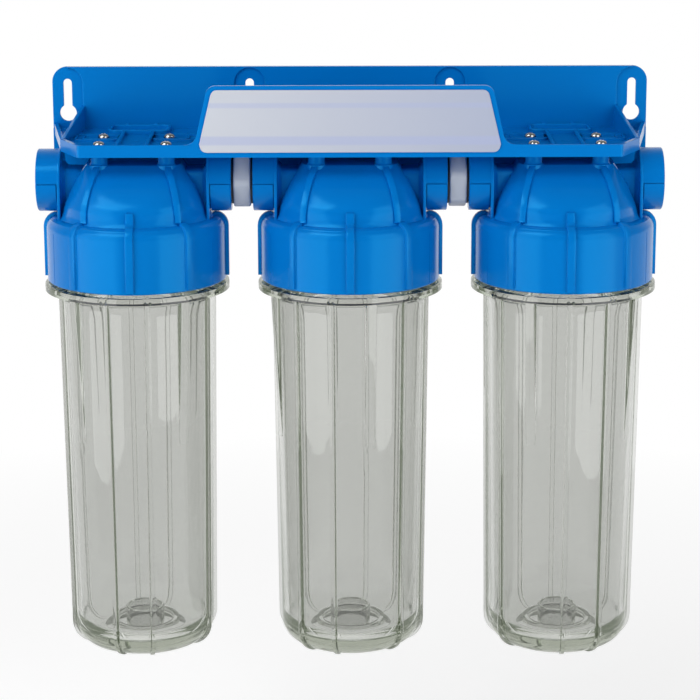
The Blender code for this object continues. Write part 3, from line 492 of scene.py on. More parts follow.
def dome_table(steps):
    """Rows of the dome at even heights, on a smooth curve through the rows that are given."""
    heights = [row[0] for row in DOME_ROWS]
    slopes = []
    for i in range(len(DOME_ROWS)):
        low, high = DOME_ROWS[max(i - 1, 0)], DOME_ROWS[min(i + 1, len(DOME_ROWS) - 1)]
        slopes.append([(b - a) / (high[0] - low[0]) for a, b in zip(low, high)])
    table = []
    for step in range(steps + 1):
        share = step / steps
        i = max(k for k in range(len(heights) - 1) if heights[k] <= share + 1e-9)
        span = heights[i + 1] - heights[i]
        t = (share - heights[i]) / span
        row = [share]
        for column in (1, 2, 3):
            a, b = DOME_ROWS[i][column], DOME_ROWS[i + 1][column]
            ta, tb = slopes[i][column] * span, slopes[i + 1][column] * span
            row.append(
                a * (2 * t**3 - 3 * t**2 + 1)
                + ta * (t**3 - 2 * t**2 + t)
                + b * (3 * t**2 - 2 * t**3)
                + tb * (t**3 - t**2)
            )
        table.append(row)
    return table


CURVE_STEPS = 48
DOME_CURVE = dome_table(CURVE_STEPS)


def dome_sizes(share):
    """Half widths, squareness and height of the dome at a share of its height."""
    place = min(max(share, 0.0), 1.0) * (len(DOME_CURVE) - 1)
    i = min(int(place), len(DOME_CURVE) - 2)
    rows = zip(DOME_CURVE[i], DOME_CURVE[i + 1])
    up, in_x, in_y, squareness = (a + (b - a) * (place - i) for a, b in rows)
    half_x = DOME_FOOT_RADIUS + (DECK_HALF_X - DOME_FOOT_RADIUS) * in_x
    half_y = DOME_FOOT_RADIUS + (DECK_HALF_Y - DOME_FOOT_RADIUS) * in_y
    return half_x, half_y, squareness, SHOULDER_HEIGHT + (DECK_HEIGHT - SHOULDER_HEIGHT) * up


def ring(half_x, half_y, squareness, height, steps):
    points = []
    for step in range(steps):
        angle = tau * (step + 0.5) / steps
        reach = reach_at(angle, half_x, half_y, squareness)
        points.append(Vector((reach * cos(angle), reach * sin(angle), height)))
    return points


def head_shell(steps):
    """Skirt, shoulder, dome and the hollow inside, drawn from the deck down and back up inside."""
    rows = [dome_sizes(share) for share in OUTER_SHARES]
    half_x, half_y, squareness, height = rows[0]
    rows[:1] = [
        (half_x - 0.0012, half_y - 0.0012, squareness, height),
        (half_x - 0.0004, half_y - 0.0004, squareness, height - 0.0003),
    ]
    shoulder = arc(SHOULDER_WIDTH, SHOULDER_DROP, 90, 0, 8, (DOME_FOOT_RADIUS, SHOULDER_FOOT))
    seam = []
    for radius, lift in ((0.0538, 0.0), (0.054, 0.00022), (0.0542, 0.0)):
        rise = SHOULDER_DROP * (1 - ((radius - DOME_FOOT_RADIUS) / SHOULDER_WIDTH) ** 2) ** 0.5 + lift
        seam.append((radius, SHOULDER_FOOT + rise))
    soft, step_height = 0.0006, 0.0305
    rim = [(SKIRT_RADIUS, 0.02), (SKIRT_RADIUS, soft), (SKIRT_RADIUS - soft, 0.0)]
    inside = [(SKIRT_BORE + 0.0008, 0.0), (SKIRT_BORE, 0.0008), (SKIRT_BORE, step_height), (0.044, step_height)]
    for radius, height in shoulder[:3] + seam + shoulder[4:] + rim + inside:
        rows.append((radius, radius, ROUND, height))
    for share in INNER_SHARES:
        half_x, half_y, squareness, height = dome_sizes(share)
        rows.append((half_x - DOME_WALL, half_y - DOME_WALL, squareness, height - DOME_WALL))
    return lofted("head_shell", [ring(*row, steps) for row in rows])


def rib_outline(width, proud):
    """Section of a rib on its wall: X across, Y outwards, with eased edges and a flared foot."""
    half, flare, sunk = width / 2, 0.0004, -0.0012
    side = [(half + flare, sunk), (half + flare, 0.0), (half + flare * 0.35, flare * 0.3), (half, flare)]
    side += [(half - 0.00003, proud - 0.0003), (half - 0.00012, proud - 0.00009), (half - 0.0004, proud)]
    return side + [(-x, y) for x, y in reversed(side)]


def path_matrix(radius, height, lean):
    """A station on a rib's path: the section's Y points outwards, leaning up by an angle."""
    out = Vector((0.0, -cos(lean), sin(lean)))
    across = Vector((1.0, 0.0, 0.0))
    place = Matrix((across, out, across.cross(out))).transposed().to_4x4()
    return Matrix.Translation((0.0, -radius, height)) @ place


def skirt_rib(climbs):
    """A rib up the skirt and over the shoulder. One that climbs goes on up the dome's foot."""
    squash = Matrix.Scale(0.35, 4, (0.0, 1.0, 0.0))
    stations = [path_matrix(SKIRT_RADIUS, height, 0.0) for height in (0.0015, 0.03)]
    for step in range(7):
        angle = radians(90 * step / 6)
        lean = atan2(sin(angle) / SHOULDER_DROP, cos(angle) / SHOULDER_WIDTH)
        if climbs:
            lean = min(lean, radians(62))
        radius = DOME_FOOT_RADIUS + SHOULDER_WIDTH * cos(angle)
        stations.append(path_matrix(radius, SHOULDER_FOOT + SHOULDER_DROP * sin(angle), lean))
    if climbs:
        stations[-1] = path_matrix(DOME_FOOT_RADIUS + 0.0004, SHOULDER_HEIGHT + 0.0002, radians(45))
        for lift, lean in ((0.0025, 12), (0.006, 6), (0.0086, 6)):
            half_y = dome_sizes(lift / (DECK_HEIGHT - SHOULDER_HEIGHT))[1]
            stations.append(path_matrix(half_y, SHOULDER_HEIGHT + lift, radians(lean)))
        stations.append(path_matrix(half_y - 0.001, SHOULDER_HEIGHT + 0.009, radians(70)) @ squash)
    else:
        stations.append(path_matrix(DOME_FOOT_RADIUS - 0.0015, SHOULDER_HEIGHT, radians(88)) @ squash)
    return ease(swept("skirt_rib", rib_outline(0.0048, 0.0019), stations), 0.0003, angle=50)


def dome_rib():
    """The front right rib of a dome, from a screw's boss down to the shoulder."""
    foot_x, foot_share = 0.0289, 0.06
    stations = []
    for share in DOME_RIB_SHARES:
        half_x, half_y, squareness, height = dome_sizes(share)
        way = (share - foot_share) / 0.94
        middle = foot_x + (SCREW_X - foot_x) * max(way, 0.0) ** 2
        surface = half_y * (1 - (middle / half_x) ** squareness) ** (1 / squareness)
        ahead = dome_sizes(min(share + 0.03, 1.0))
        lean = min(atan2(half_y - ahead[1], ahead[3] - height), radians(55))
        station = Matrix.Translation((middle, -surface, height)) @ bearing_matrix(14)
        stations.append(station @ path_matrix(0.0, 0.0, lean))
    return swept("dome_rib", rib_outline(0.004, 0.002), stations)


def arch(reach, half_width, rise, squareness):
    """A ring of the port's neck: an arch on the shoulder, at a reach from the head's axis."""
    foot, steps = SHOULDER_HEIGHT - 0.0036, 28
    points = [Vector((reach, half_width, foot))]
    for step in range(steps + 1):
        angle = pi * step / steps
        across = reach_at(angle, half_width, rise, squareness)
        points.append(Vector((reach, across * cos(angle), PORT_AXIS + across * sin(angle))))
    points.append(Vector((reach, -half_width, foot)))
    return points


def half_sleeve(name, outer, root, place):
    """Half of a port's outside. The halves leave a fine groove at the mould's parting line."""
    gap, steps = 0.016, 36
    core = PORT_CORE_RADIUS
    section = ((core, root), (outer, root), (outer, 0.0604), (outer - 0.0004, PORT_EDGE), (core, PORT_EDGE))
    rings = []
    for step in range(steps + 1):
        angle = gap + (pi - 2 * gap) * step / steps
        rings.append([place @ Vector((radius * sin(angle), -radius * cos(angle), reach)) for radius, reach in section])
    return lofted(name, rings)


def port_pieces(pitch):
    """The right port of a head, with the neck that it stands on."""
    rows = (
        (0.026, 0.0112, 0.0078, 7.0),
        (0.043, 0.012, 0.0084, 7.0),
        (0.0455, 0.0142, 0.0112, 5.0),
        (0.0457, 0.0199, 0.0199, ROUND),
        (0.0475, 0.0199, 0.0199, ROUND),
    )
    neck = ease(lofted("port_neck", [arch(*row) for row in rows]), 0.0003)
    place = lying(0.0, 0.0, PORT_AXIS)
    passage = [(0.0, 0.03), (PASSAGE_RADIUS, 0.03), (PASSAGE_RADIUS, 0.05), (0.0, 0.05)]
    combine(neck, "DIFFERENCE", settle(spun("passage_cutter", passage, 40, place)))
    profile = [
        (PASSAGE_RADIUS, PORT_BACK), (0.0184, PORT_BACK), (0.0184, 0.0605), (PORT_CORE_RADIUS, PORT_EDGE),
        (0.018, 0.061), (0.0148, 0.061), (0.01385, 0.0598), (0.0137, 0.0482), (0.0132, 0.048), (PASSAGE_RADIUS, 0.048),
    ]
    return [
        neck,
        spun("port", profile, 72, place, closed=True),
        helical_ridge("port_thread", 0.0138, -0.00085, 0.0484, 0.0602, pitch, 48, place),
        half_sleeve("port_lower_half", 0.01985, 0.0482, place),
        half_sleeve("port_upper_half", 0.0195, PORT_BACK, place @ bearing_matrix(180)),
    ]


def screw_boss():
    top, deck = SHELF_HEIGHT - 0.0003 - RIM, DECK_HEIGHT
    profile = [(0.0, top), (0.0048, top), (0.0052, top - 0.0004), (0.0052, deck + 0.0011), (0.0056, deck + 0.0004)]
    profile += [(0.0063, deck - 0.0002), (0.0063, deck - DOME_WALL), (0.0, deck - DOME_WALL)]
    return spun("screw_boss", profile, 40)


def nozzle():
    """The nozzle that hangs under the deck."""
    top, foot, floor = 0.0735, 0.02, 0.062
    profile = [(0.0, top), (0.0125, top), (0.0125, foot + 0.001), (0.0118, foot), (0.0099, foot), (0.0092, 0.0207)]
    return spun("nozzle", profile + [(0.0092, floor), (0.0, floor)], 48)


class WATERFILTER_OT_heads(Operator):
    """Models one head and copies it to its three places"""

    bl_idname = "water_filter.heads"
    bl_label = "Heads"

    def execute(self, context):
        sizes = context.scene.filter_pieces
        pieces = [head_shell(sizes.head_steps)]
        rib, climbing, front, boss = skirt_rib(False), skirt_rib(True), dome_rib(), screw_boss()
        for bearing in SKIRT_RIB_BEARINGS:
            source = climbing if bearing in CLIMBING_BEARINGS else rib
            pieces.append(copied(source, "skirt_rib_copy", bearing_matrix(bearing)))
        for matrix in (Matrix(), MIRROR, bearing_matrix(180), bearing_matrix(180) @ MIRROR):
            pieces.append(welded(copied(front, "dome_rib_copy", matrix)))
        right = port_pieces(sizes.port_pitch)
        pieces += [copied(piece, piece.name + "_left", bearing_matrix(180)) for piece in right] + right
        for sx, sy in SCREW_PLACES.values():
            pieces.append(copied(boss, "boss_copy", Matrix.Translation((sx * SCREW_X, sy * SCREW_Y, 0.0))))
        pieces.append(nozzle())
        thin = 0.00012
        for bearing in MOULD_LINE_BEARINGS:
            line = bar("mould_line", (-thin, -SKIRT_RADIUS - thin, 0.001), (thin, -SKIRT_RADIUS + 0.0005, 0.0335))
            pieces.append(settle(line, bearing_matrix(bearing)))
        head = smooth(joined("head_shape", pieces))
        for number, place in HOUSINGS.items():
            copy = copied(head, f"head_{number}_moulding", Matrix.Translation(place))
            dress(copy, "root", "blue_plastic", f"head_{number}")
        drop(rib, climbing, front, boss, head)
        return {"FINISHED"}


def wall_radius(height):
    way = (height - BODY_TOP) / (BODY_FOOT - BODY_TOP)
    return BODY_TOP_RADIUS + (BODY_FOOT_RADIUS - BODY_TOP_RADIUS) * way


def sump_rows():
    """Rings of the outer wall from the flange down to the foot. They lie close where the lugs end."""
    rows = [(0.0518, FLANGE_UNDER), (0.051, FLANGE_UNDER), (0.0502, -0.0074), (0.0493, -0.0091)]
    rows += [(0.0485, -0.011), (0.0481, -0.0128)]
    heights = (-0.018, -0.03, -0.045, -0.06, -0.075, -0.086, -0.092, -0.096, -0.0988, -0.1005, LUG_END)
    heights += (-0.12, -0.14, -0.16, -0.18, -0.2, -0.215, BODY_FOOT)
    rows += [(wall_radius(height), height) for height in heights]
    return rows + arc(BOTTOM_REACH, -BOTTOM_DROP, 9, 90, 9, (BOTTOM_MIDDLE, BODY_FOOT))


def rib_rows(rows):
    """For each ring from the flange to the toe: the ring, the rib's crest there and its half width."""
    crests = []
    for radius, height in rows[1:]:
        if height >= FLANGE_UNDER or (radius, height) == rows[-1]:
            crest = (radius, height)
        elif height > BODY_TOP:
            crest = (max(0.0505, radius + 0.0001), height)
        elif height >= BODY_FOOT:
            crest = (wall_radius(height) + 0.0025, height)
        else:
            angle = atan2((BODY_FOOT - height) / BOTTOM_DROP, (radius - BOTTOM_MIDDLE) / BOTTOM_REACH)
            crest = (0.033 + 0.015 * cos(angle), BODY_FOOT - 0.0158 * sin(angle))
        crests.append(((radius, height), crest, 0.0015))
    return crests


def lug_rows(rows):
    """The same for a lug, whose face sinks into the wall at its rounded lower end."""
    end_half, widening, rounding, proud = 0.0018, 0.0016, 0.007, 0.0038
    crests = []
    for radius, height in rows:
        if height < LUG_END - NEAR:
            break
        left = min((height - LUG_END) / rounding, 1.0)
        half = end_half + widening * (1 - (1 - left) ** 2) ** 0.5
        if (radius, height) == rows[0] or height <= LUG_END + NEAR:
            crest = (radius, height)
        elif height > BODY_TOP:
            crest = (0.0518, min(height, -0.0067))
        else:
            crest = (radius + proud * (height - LUG_END) / (BODY_TOP - LUG_END), height)
        crests.append(((radius, height), crest, half))
    return crests


def raise_band(piece, bearing, columns, rows):
    """Extrudes a band of a spun wall outwards at a bearing and gives it straight sides."""
    inner_parts, slack, taper = 0.02, 0.0003, 0.94
    angle = radians(bearing)
    out = Vector((sin(angle), -cos(angle), 0.0))
    across = Vector((cos(angle), sin(angle), 0.0))
    reach_half = tau / WALL_STEPS * columns
    mesh = edit(piece, "FACE")
    band = set()
    for vert in mesh.verts:
        radius = hypot(vert.co.x, vert.co.y)
        if radius < inner_parts:
            continue
        side = atan2(vert.co.dot(across), vert.co.dot(out))
        if abs(side) > reach_half + slack:
            continue
        for (ring_radius, height), crest, half in rows:
            if abs(vert.co.z - height) < NEAR and abs(radius - ring_radius) < NEAR:
                offset = side / reach_half * half
                level = vert.co.z
                vert.co = out * (radius**2 - offset**2) ** 0.5 + across * offset
                vert.co.z = level
                band.add(vert)
                break
    for face in mesh.faces:
        if all(vert in band for vert in face.verts):
            face.select_set(True)
    bmesh.update_edit_mesh(piece.data)
    extrude()
    mesh = bmesh.from_edit_mesh(piece.data)
    for vert in [vert for vert in mesh.verts if vert.select]:
        radius = hypot(vert.co.x, vert.co.y)
        offset = vert.co.dot(across)
        foot, crest, half = min(rows, key=lambda row: abs(row[0][0] - radius) + abs(row[0][1] - vert.co.z))
        if crest != foot:
            offset *= taper
        vert.co = out * (crest[0] ** 2 - offset**2) ** 0.5 + across * offset
        vert.co.z = crest[1]
    bmesh.update_edit_mesh(piece.data)
    bpy.ops.object.mode_set(mode="OBJECT")


def in_band(middle):
    """True for a place on the outside of the sump's wall within one of its ribs or lugs."""
    slack, toe_radius, toe_height, half_wall, widest_half = 0.0003, 0.0305, -0.2432, 0.0012, 0.0038
    radius = hypot(middle.x, middle.y)
    if middle.z > FLANGE_UNDER - slack or radius < toe_radius or middle.z < toe_height:
        return False
    if radius < wall_radius(middle.z) - half_wall and middle.z > BODY_FOOT:
        return False
    bearing = atan2(middle.x, -middle.y)
    bands = [radians(band) for band in RIB_BEARINGS + LUG_BEARINGS]
    return min(abs((bearing - band + pi) % tau - pi) for band in bands) * radius < widest_half


class WATERFILTER_OT_sumps(Operator):
    """Spins one sump, raises its ribs and lugs, and copies it to its three places"""

    bl_idname = "water_filter.sumps"
    bl_label = "Sumps"

    def execute(self, context):
        sizes = context.scene.filter_pieces
        rows = sump_rows()
        floor, corner, neck_top, seat, under = SUMP_FLOOR, 0.0122, 0.0293, 0.0265, -0.2374
        collar = [(0.0, floor), (0.0106, floor), (0.0106, -0.2215), (0.0111, -0.221), (0.0121, -0.221)]
        collar += [(0.0126, -0.2215), (0.0126, floor)]
        step = [(0.0188, floor), (0.0188, -0.2291), (0.0193, -0.2286), (0.0217, -0.2286), (0.0224, -0.2293)]
        step += [(0.0224, floor), *arc(corner, corner, 270, 360, 8, (0.03, floor + corner))]
        neck = [(0.0443, -0.05), (0.0447, BODY_TOP), (0.0447, neck_top), (0.0463, neck_top), (0.0463, seat)]
        neck += [(0.0502, seat), (0.0502, neck_top), (0.0515, neck_top), (0.0519, 0.0288), (0.0519, -0.0004)]
        flange = [(0.055, -0.0004), (0.0583, -0.0021), (0.0585, -0.0026), (0.0585, FLANGE_UNDER)]
        bottom = [(0.027, -0.2425), (0.0268, under), (0.0, under)]
        sump = spun("sump_shape", collar + step + neck + flange + rows + bottom, WALL_STEPS)
        for bearings, columns, crests in ((RIB_BEARINGS, 1, rib_rows(rows)), (LUG_BEARINGS, 3, lug_rows(rows))):
            for bearing in bearings:
                raise_band(sump, bearing, columns, crests)
        smooth(round_edges(welded(sump, weld=0.00002), sizes.sump_edge, inside=in_band), 30.0)
        thread = smooth(helical_ridge("neck_thread", 0.0518, 0.0012, 0.0035, 0.0225, sizes.neck_pitch, 96), 50.0)
        for number, place in HOUSINGS.items():
            body = f"sump_{number}"
            matrix = Matrix.Translation(place) @ bearing_matrix(SUMP_TURNS[number])
            dress(copied(sump, f"{body}_moulding", matrix), body, "clear_plastic", body)
            dress(copied(thread, f"{body}_thread", matrix), body, "clear_plastic")
        drop(sump, thread)
        return {"FINISHED"}


class WATERFILTER_OT_seals(Operator):
    """Spins the seal rings in the sumps' necks"""

    bl_idname = "water_filter.seals"
    bl_label = "Seals"

    def execute(self, context):
        low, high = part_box("sump_seal_2")
        thick, middle = 0.00158, (0.0483, (low.z + high.z) / 2 - RIM)
        seal = smooth(spun("seal_shape", arc(thick, thick, 90, -240, 11, middle), 96, closed=True), 60.0)
        for number, place in HOUSINGS.items():
            copy = copied(seal, f"sump_seal_{number}_ring", Matrix.Translation(place))
            dress(copy, f"seal_{number}", "black_rubber", f"sump_seal_{number}")
        drop(seal)
        return {"FINISHED"}


def raised_rim(name, outline, base, top, wall):
    """A raised rim round an outline: a plate whose top face is inset and sunk again."""
    piece = prism(name, outline, lift_matrix(base), top - base)
    mesh = edit(piece, "FACE")
    for face in mesh.faces:
        if face.normal.z > 0.9:
            face.select_set(True)
    bmesh.update_edit_mesh(piece.data)
    bpy.ops.mesh.inset(thickness=wall)
    extrude(base - top + 0.0001)
    bpy.ops.object.mode_set(mode="OBJECT")
    return piece


def keyhole_outline(x):
    height, radius, half, slot_top = SHELF_HEIGHT + 0.0126, 0.00535, 0.0027, SHELF_HEIGHT + 0.0348
    open_angle = 90 - atan2((radius**2 - half**2) ** 0.5, half) * 180 / pi
    hole = arc(radius, radius, 90 + open_angle, 450 - open_angle, 32, (x, height))
    return hole + arc(half, half, 0, 180, 12, (x, slot_top - half))


def pad_outline(side, x, opens_out):
    """The sunk arch round a keyhole. At the plate's ends it opens to the side."""
    centre, foot, past = PLATE_TOP - 0.0008 - PAD_HALF, SHELF_TOP + 0.0004, 0.001
    last, steps = (90, 12) if opens_out else (0, 24)
    outline = [(x - PAD_HALF, foot)] + arc(PAD_HALF, PAD_HALF, 180, last, steps, (x, centre))
    if opens_out:
        far = x + PAD_HALF + past
        outline += [(x, PLATE_TOP + past), (far, PLATE_TOP + past), (far, foot)]
    else:
        outline.append((x + PAD_HALF, foot))
    return [(side * px, pz) for px, pz in outline]


def tray_outline(inset):
    """The shelf seen from above, with rounded elbows and front corners."""
    corner = 0.0009 if inset else 0.0022
    right = [(WALL_HALF - 0.0003, -0.0012), (ELBOW_X, ELBOW_Y), (SHELF_FRONT_HALF, -SHELF_DEPTH)]
    outline = right + [(-x, y) for x, y in reversed(right)]
    moved = []
    for i, (x, y) in enumerate(outline):
        here = Vector((x, y))
        back = (here - Vector(outline[i - 1])).normalized()
        ahead = (Vector(outline[(i + 1) % len(outline)]) - here).normalized()
        inward = (Vector((back.y, -back.x)) + Vector((ahead.y, -ahead.x))).normalized()
        point = here + inward * inset / cos(back.angle(ahead) / 2)
        moved.append((point.x, point.y, 0.0 if i in (0, 5) else corner))
    return rounded(moved, 4)


def tray_piece():
    """The shelf with its lip and the label's panel."""
    tray = prism("bracket_shape", tray_outline(0.0), lift_matrix(LIP_FOOT), LIP_TOP - LIP_FOOT)
    walls = tray_outline(0.0025)
    upper = prism("upper_pocket", walls, lift_matrix(SHELF_TOP), 0.01)
    lower = prism("lower_pocket", walls, lift_matrix(LIP_FOOT - 0.01), 0.0117)
    combine(tray, "DIFFERENCE", upper, lower)
    for side in (-1, 1):
        low = (side * (PITCH + 0.0338), ELBOW_Y, LIP_FOOT - 0.001)
        high = (side * (WALL_HALF + 0.001), 0.001, SHELF_HEIGHT - 0.0007)
        combine(tray, "DIFFERENCE", bar("side_relief", low, high))
    foot = PANEL_FOOT_HALF + 0.016
    left = [(-foot, LIP_FOOT, 0.0), (-foot, LIP_TOP, 0.0)]
    left += [(-PANEL_FOOT_HALF, LIP_TOP, 0.008), (-PANEL_TOP_HALF, PANEL_TOP, 0.006)]
    corners = left + [(-x, y, radius) for x, y, radius in reversed(left)]
    panel = prism("label_panel", rounded(corners, 8), upright(SHELF_DEPTH), 0.0025)
    return welded(combine(tray, "UNION", panel), weld=NEAR, outwards=False)


def wall_plate():
    """The plate against the wall, with its keyholes and their sunk arches."""
    bottom, low_round, front = RIM + SHOULDER_HEIGHT + 0.00935, 0.006, 0.006
    corners = [(-WALL_HALF, bottom, low_round), (-WALL_HALF, PLATE_TOP, PAD_HALF)]
    corners += [(WALL_HALF, PLATE_TOP, PAD_HALF), (WALL_HALF, bottom, low_round)]
    plate = prism("wall_plate", rounded(corners, 12), upright(PLATE_THICK), PLATE_THICK)
    for x in (-KEYHOLE_END_X, -KEYHOLE_MID_X, KEYHOLE_MID_X, KEYHOLE_END_X):
        outline = pad_outline(-1 if x < 0 else 1, abs(x), abs(x) == KEYHOLE_END_X)
        combine(plate, "DIFFERENCE", prism("pad", outline, upright(front), 0.0035))
        combine(plate, "DIFFERENCE", prism("keyhole", keyhole_outline(x), upright(front), 0.008))
    return welded(plate, weld=NEAR, outwards=False)


def end_web(side):
    """The upright web from the wall plate to the elbow of the shelf's lip."""
    start = Vector((PITCH + 0.0378, -0.0025))
    run = Vector((ELBOW_X - 0.00125, ELBOW_Y)) - start
    low, half_thick = SHELF_HEIGHT + 0.00075, 0.0012
    outline = [(0.0, low), (run.length, low), (run.length, LIP_TOP - 0.0003), (0.0, SHELF_HEIGHT + 0.0177)]
    place = Matrix.Translation((start.x, start.y, 0.0)) @ Matrix.Rotation(atan2(run.y, run.x), 4, "Z")
    web = ease(prism("end_web", outline, place @ upright(half_thick), 2 * half_thick), 0.0005, 3)
    return welded(settle(web, MIRROR)) if side < 0 else web


def shelf_relief(x, edge):
    """The raised track, the ribs and the fine rims round the screws above one head."""
    base, top = SHELF_TOP - 0.00075, SHELF_TOP + 0.0028
    half, back, front, corner = 0.02, -0.0058, -0.0316, 0.006
    corners = ((x - half, back), (x + half, back), (x + half, front), (x - half, front))
    outline = rounded([(px, py, corner) for px, py in corners])
    pieces = [raised_rim("track", outline, base, top + 0.0002, 0.0022)]
    ribs = (("cross_rib", -SHELF_DEPTH + 0.001, -0.0307, top), ("wall_rib", -0.0067, -0.0025, LIP_TOP))
    half = 0.0013
    for middle in (x - 0.0093, x + 0.0093):
        for name, near, far, height in ribs:
            pieces.append(bar(name, (middle - half, near, base), (middle + half, far, height)))
    for piece in pieces:
        ease(piece, 2 * edge, 3)
    for side in (-1, 1):
        place = Vector((x + side * (SCREW_X + 0.0012), -AXIS_DEPTH + SCREW_Y - 0.001))
        limit = x + side * 0.0108
        clip = max if side > 0 else min
        for half_x, half_y, corner in ((0.0118, 0.0085, 0.0031), (0.0165, 0.0125, 0.00425)):
            spots = ((-half_x, half_y), (half_x, half_y), (half_x, -half_y), (-half_x, -half_y))
            spots = [(clip(place.x + px, limit), place.y + py, corner) for px, py in spots]
            rim = raised_rim("screw_rim", rounded(spots), base, SHELF_TOP + 0.0013, 0.0011)
            pieces.append(ease(rim, 0.0002))
    mark = ((0.0, -0.0003), (0.0026, -0.0003), (0.0026, 0.00015), (0.0022, 0.0002), (0.0019, 0.0001), (0.0, 0.00006))
    mark = [(radius, SHELF_TOP + lift) for radius, lift in mark]
    pieces.append(spun("disc_mark", mark, 32, Matrix.Translation((x, -AXIS_DEPTH + 0.003, 0.0))))
    return pieces


class WATERFILTER_OT_bracket(Operator):
    """Models the bracket: shelf, lip, wall plate, label panel, end webs and the relief above each head"""

    bl_idname = "water_filter.bracket"
    bl_label = "Bracket"

    def execute(self, context):
        edge = context.scene.filter_pieces.edge
        pieces = [round_edges(tray_piece(), edge), round_edges(wall_plate(), edge), end_web(-1), end_web(1)]
        for axis in HOUSINGS.values():
            pieces += shelf_relief(axis.x, edge)
        bracket = smooth(joined("bracket_moulding", pieces), 40.0)
        dress(apply_modifier(bracket, "WEIGHTED_NORMAL", keep_sharp=True), "root", "blue_plastic", "bracket")
        return {"FINISHED"}


def nipple_collar(half, lift):
    """A hexagon collar with soft corners and turned ends. One corner points to the front, lifted by an angle."""
    corner_reach, corner_round, sunk = 0.01905, 0.005, 0.0002
    angles = [radians(-90 - lift + 60 * side) for side in range(6)]
    corners = [(corner_reach * cos(angle), corner_reach * sin(angle), corner_round) for angle in angles]
    outline = [Vector(point) for point in rounded(corners, 8)]
    rows = ((-half, 0.0171), (-half + 0.0002, 0.0174), (-half + 0.0009, 0.0185))
    rings = []
    for reach, limit in rows + tuple((-reach, limit) for reach, limit in reversed(rows)):
        inset = sunk if abs(reach) == half else 0.0
        points = [point.normalized() * (min(point.length, limit) - inset) for point in outline]
        rings.append([Vector((point.x, point.y, reach)) for point in points])
    return lofted("nipple_collar", rings)


class WATERFILTER_OT_nipples(Operator):
    """Models the nipples between the heads: a hexagon collar on a pipe"""

    bl_idname = "water_filter.nipples"
    bl_label = "Nipples"

    def execute(self, context):
        bore, outer, collar_half = 0.0085, 0.0132, 0.00535
        for number, side, lift in ((1, -1, 2), (2, 1, 18)):
            low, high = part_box(f"nipple_{number}")
            end = (high.x - low.x) / 2
            pipe = spun("nipple_pipe", [(bore, -end), (outer, -end), (outer, end), (bore, end)], 64, closed=True)
            nipple = joined(f"nipple_{number}_moulding", [nipple_collar(collar_half, lift), pipe])
            smooth(settle(nipple, lying(side * PITCH / 2, -AXIS_DEPTH, 0.0)), 35.0)
            dress(nipple, "root", "pale_nylon", f"nipple_{number}")
        return {"FINISHED"}


class WATERFILTER_OT_screws(Operator):
    """Spins a pan-head screw, cuts its cross recess and copies it to its twelve places"""

    bl_idname = "water_filter.screws"
    bl_label = "Screws"

    def execute(self, context):
        seat = SHELF_TOP + 0.0003
        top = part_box("bracket_screw_1a")[1].z - seat
        crown = ((0.0, 0.0), (0.0012, 0.00005), (0.0022, 0.00025), (0.003, 0.0007), (0.0035, 0.0014), (0.0037, 0.0021))
        profile = [(radius, top - down) for radius, down in crown]
        profile += [(0.00375, 0.0002), (0.0036, 0.0), (0.0019, 0.0), (0.0019, -0.0085), (0.0, -0.0103)]
        screw = spun("screw_shape", profile, 40)
        half, wide = 0.0021, 0.00045
        slot = [
            [Vector((x * half * s, y * wide * s, z)) for x, y in ((-1, -1), (1, -1), (1, 1), (-1, 1))]
            for s, z in ((0.35, top - 0.0017), (1.0, top + 0.0004))
        ]
        for turn in (0, 90):
            combine(screw, "DIFFERENCE", settle(lofted("cross_cutter", slot), bearing_matrix(turn)))
        smooth(ease(screw, 0.00012, 2, 50.0), 30.0)
        turn, turn_step = 20.0, 67.0
        for number, axis in HOUSINGS.items():
            for letter, (sx, sy) in SCREW_PLACES.items():
                place = (axis.x + sx * SCREW_X, axis.y + sy * SCREW_Y, seat)
                node = f"bracket_screw_{number}{letter}"
                copy = copied(screw, f"{node}_steel", Matrix.Translation(place) @ bearing_matrix(turn))
                dress(copy, "root", "plated_steel", node)
                turn += turn_step
        drop(screw)
        return {"FINISHED"}


class WATERFILTER_OT_label(Operator):
    """Takes the label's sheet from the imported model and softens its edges"""

    bl_idname = "water_filter.label"
    bl_label = "Label"

    def execute(self, context):
        sheet = copied(NODES["label"], "label_film_sheet", Matrix())
        sheet.parent = None
        sheet.matrix_world = Matrix()
        for key in list(sheet.keys()):
            del sheet[key]
        sheet.data.materials.clear()
        edit(sheet)
        bpy.ops.mesh.select_all(action="SELECT")
        bpy.ops.mesh.remove_doubles(threshold=NEAR)
        bpy.ops.mesh.dissolve_limited(angle_limit=radians(0.5))
        smooth(round_edges(sheet, 0.00008, 1), 40.0)
        dress(apply_modifier(sheet, "WEIGHTED_NORMAL", keep_sharp=True), "root", "label_film", "label")
        return {"FINISHED"}


class Nodes:
    """Adds shader nodes to a tree and fills their sockets with values or with other sockets."""

    def __init__(self, tree):
        self.tree = tree

    def add(self, kind, inputs=None, **settings):
        node = self.tree.nodes.new(kind)
        for name, value in settings.items():
            setattr(node, name, value)
        self.fill(node, inputs or {})
        return node

    def fill(self, node, inputs):
        for name, value in inputs.items():
            if isinstance(value, bpy.types.NodeSocket):
                self.tree.links.new(value, node.inputs[name])
            else:
                node.inputs[name].default_value = value

    def sums(self, operation, first, second):
        return self.add("ShaderNodeMath", {0: first, 1: second}, operation=operation).outputs[0]


def new_material(name):
    material = bpy.data.materials.new(name)
    material.use_nodes = True
    MATERIALS[name] = material
    return Nodes(material.node_tree), material.node_tree.nodes["Principled BSDF"]


